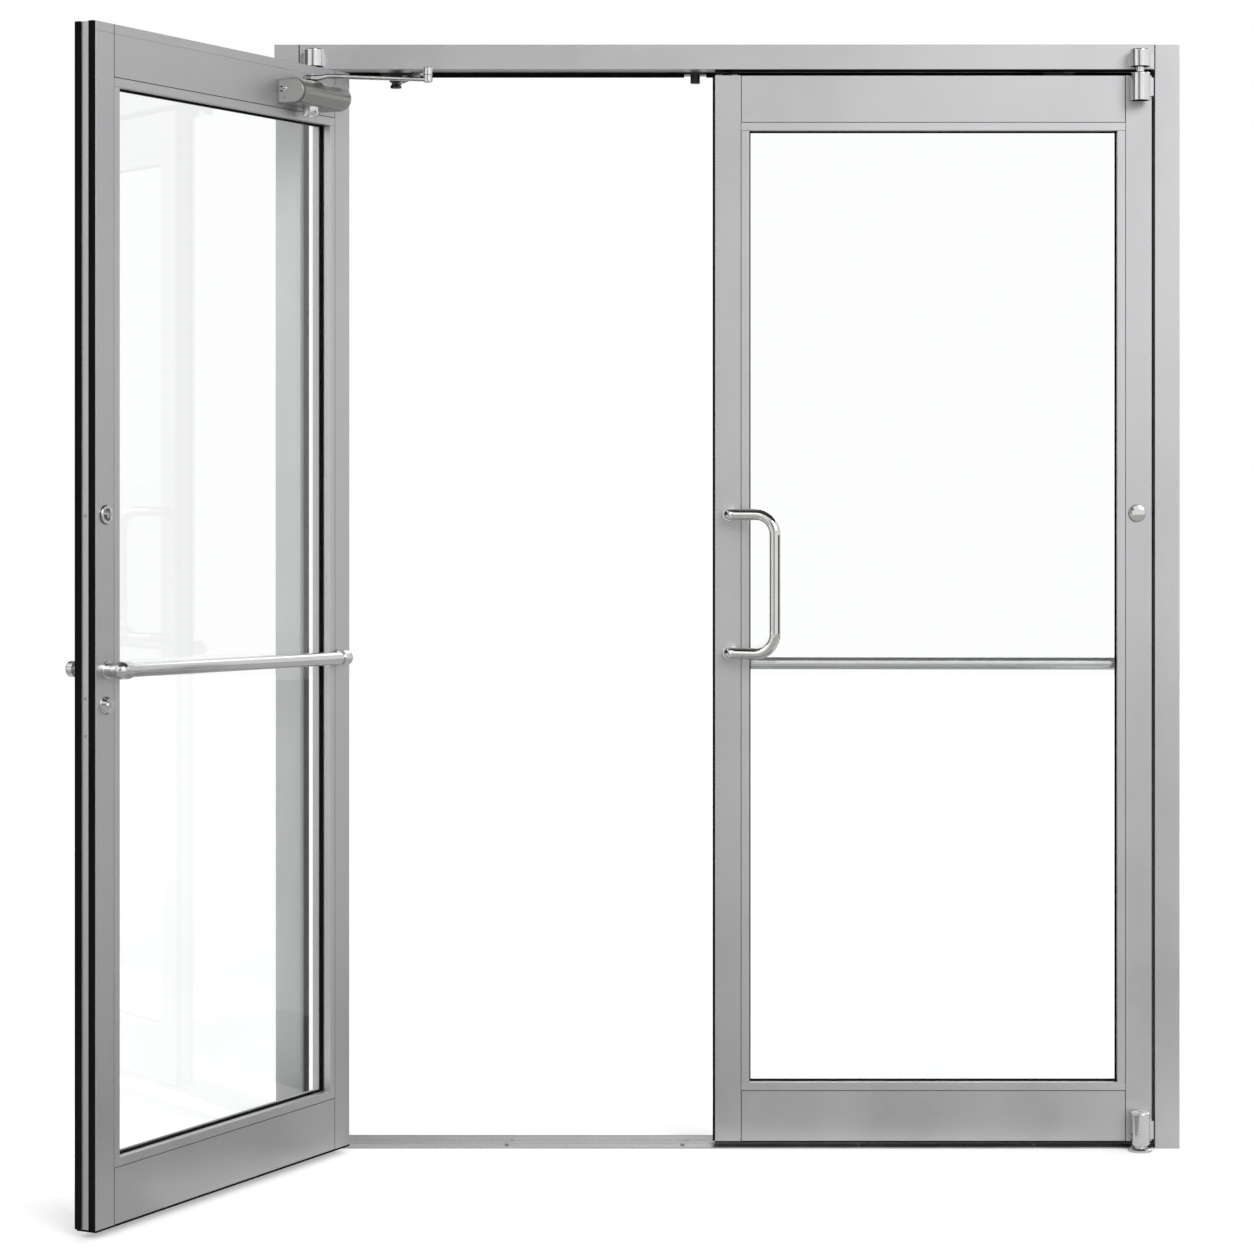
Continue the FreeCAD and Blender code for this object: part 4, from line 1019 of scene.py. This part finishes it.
def world():
    """White where the camera, metal or glass looks, and a plain level of light on the object."""
    backdrop = bpy.data.worlds.new("studio")
    bpy.context.scene.world = backdrop
    backdrop.use_nodes = True
    tree = backdrop.node_tree
    tree.nodes.clear()
    rays = add(tree, "ShaderNodeLightPath").outputs
    looked = calculated(tree, "MAXIMUM", rays["Is Camera Ray"], rays["Is Glossy Ray"])
    seen = calculated(tree, "MAXIMUM", looked, rays["Is Transmission Ray"])
    light = add(tree, "ShaderNodeBackground", Color=WHITE, Strength=WORLD_LIGHT)
    white = add(tree, "ShaderNodeBackground", Color=WHITE, Strength=1.0)
    surface = mixed_shader(tree, seen, light.outputs["Background"], white.outputs["Background"])
    output = add(tree, "ShaderNodeOutputWorld")
    tree.links.new(surface, output.inputs["Surface"])


def quad(name, corners):
    """A flat four-sided sheet, as part of the stage."""
    mesh = bpy.data.meshes.new(name)
    mesh.from_pydata(corners, [], [(0, 1, 2, 3)])
    sheet = bpy.data.objects.new(name, mesh)
    bpy.context.scene.collection.objects.link(sheet)
    return sheet


def level_sheet(name, x0, x1, y0, y1, z):
    """The same, at one height."""
    return quad(name, [Vector((x, y, z)) for x, y in ((x0, y0), (x1, y0), (x1, y1), (x0, y1))])


def floor():
    """A pale floor that glows a little to what looks at it and keeps the object's shadow."""
    sheet = level_sheet("floor", -FLOOR_HALF, FLOOR_HALF, -FLOOR_HALF, FLOOR_HALF, 0)
    colour = (FLOOR_LEVEL, FLOOR_LEVEL, FLOOR_LEVEL)
    material, tree, shader = new_material(
        "floor", colour, 0.0, FLOOR_ROUGHNESS, Specular_IOR_Level=0.0, Emission_Color=WHITE
    )
    rays = add(tree, "ShaderNodeLightPath").outputs
    seen = calculated(tree, "MAXIMUM", rays["Is Camera Ray"], rays["Is Transmission Ray"])
    glow = calculated(tree, "MULTIPLY", seen, FLOOR_GLOW)
    tree.links.new(glow, shader.inputs["Emission Strength"])
    sheet.data.materials.append(material)


def card(sheet, level, through_glass):
    """A sheet made grey, of a given level, that only reflections see, so that bright forms mirror it."""
    material, tree, shader = new_material(
        sheet.name,
        (0, 0, 0),
        0.0,
        1.0,
        Specular_IOR_Level=0.0,
        Emission_Color=WHITE,
        Emission_Strength=level,
    )
    rays = add(tree, "ShaderNodeLightPath").outputs
    mirrored = calculated(tree, "GREATER_THAN", rays["Glossy Depth"], 0.5)
    clear = add(tree, "ShaderNodeBsdfTransparent")
    surface = mixed_shader(tree, mirrored, clear.outputs["BSDF"], shader.outputs["BSDF"])
    tree.links.new(surface, tree.nodes["Material Output"].inputs["Surface"])
    sheet.data.materials.append(material)
    sheet.visible_camera = False
    sheet.visible_diffuse = False
    sheet.visible_shadow = False
    sheet.visible_volume_scatter = False
    sheet.visible_transmission = through_glass


def upright_card(name, level, start, end, low, high):
    """A card on the stage's circle, between two azimuths in degrees from straight ahead of the outside."""
    feet = []
    for azimuth in (start, end):
        angle = math.radians(azimuth)
        feet.append(Vector((STAGE_RADIUS * math.sin(angle), -STAGE_RADIUS * math.cos(angle), 0)))
    corners = [feet[0] + UP * low, feet[1] + UP * low, feet[1] + UP * high, feet[0] + UP * high]
    card(quad(name, corners), level, through_glass=False)


def level_card(name, level, x0, x1, y0, y1, z=LEVEL_CARD_Z):
    card(level_sheet(name, x0, x1, y0, y1, z), level, through_glass=True)


def cards():
    # Name, level, azimuth from and to, height from and to
    upright_card("card_right", 0.01, 62, 100, 0.55, 1.3)
    upright_card("card_left", 0.35, -108, -78, 0.2, 2.4)
    upright_card("card_high_left", 0.15, -108, -64, 2.4, 4.2)
    upright_card("card_front_left", 0.34, -36, -9, 0.6, 2.5)
    upright_card("card_high_front", 0.25, -24, -1, 2.5, 4.2)
    upright_card("card_behind_left", 0.05, -168, -104, 0.3, 4.2)
    upright_card("card_behind_right", 0.30, 150, 172, 0.3, 3.8)
    # Name, level, x from and to, y from and to
    level_card("card_near_front", 0.32, -0.72, 0.72, -0.62, -0.14)
    level_card("card_near_back", 0.35, -0.72, 0.72, 0.14, 0.62)
    level_card("card_floor_front", 0.52, -5, 12, -7.5, -0.62)
    level_card("card_floor_back", 0.60, -5, 12, 0.62, 7.5)
    level_card("card_ceiling", 0.05, -3.5, 3.5, -3.2, 3.2, CEILING_Z)


def sun(name, azimuth, height, angle, energy):
    """A soft sun, its azimuth measured as for the cards."""
    light = bpy.data.lights.new(name, "SUN")
    light.energy = energy
    light.angle = math.radians(angle)
    holder = bpy.data.objects.new(name, light)
    turn, rise = math.radians(azimuth), math.radians(height)
    towards = Vector((math.sin(turn) * math.cos(rise), -math.cos(turn) * math.cos(rise), math.sin(rise)))
    holder.rotation_euler = towards.to_track_quat("Z", "Y").to_euler()
    bpy.context.scene.collection.objects.link(holder)


def lights():
    sun("key", azimuth=32, height=29, angle=30, energy=1.75)
    sun("fill", azimuth=-60, height=30, angle=45, energy=0.25)
    sun("back", azimuth=160, height=42, angle=40, energy=0.5)


def camera():
    eye = bpy.data.cameras.new("camera")
    eye.sensor_width = SENSOR
    eye.lens = FOCAL_PIXELS / PHOTO_SIDE * SENSOR
    eye.shift_x = 0.5 - AXIS_PX / PHOTO_SIDE
    eye.shift_y = AXIS_PY / PHOTO_SIDE - 0.5
    holder = bpy.data.objects.new("camera", eye)
    holder.location = CAMERA_PLACE
    holder.rotation_euler = (math.pi / 2, 0, 0)
    bpy.context.scene.collection.objects.link(holder)
    bpy.context.scene.camera = holder


bpy.context.scene.view_settings.view_transform = "Standard"
dress_cad()
all_details()
world()
floor()
cards()
lights()
camera()
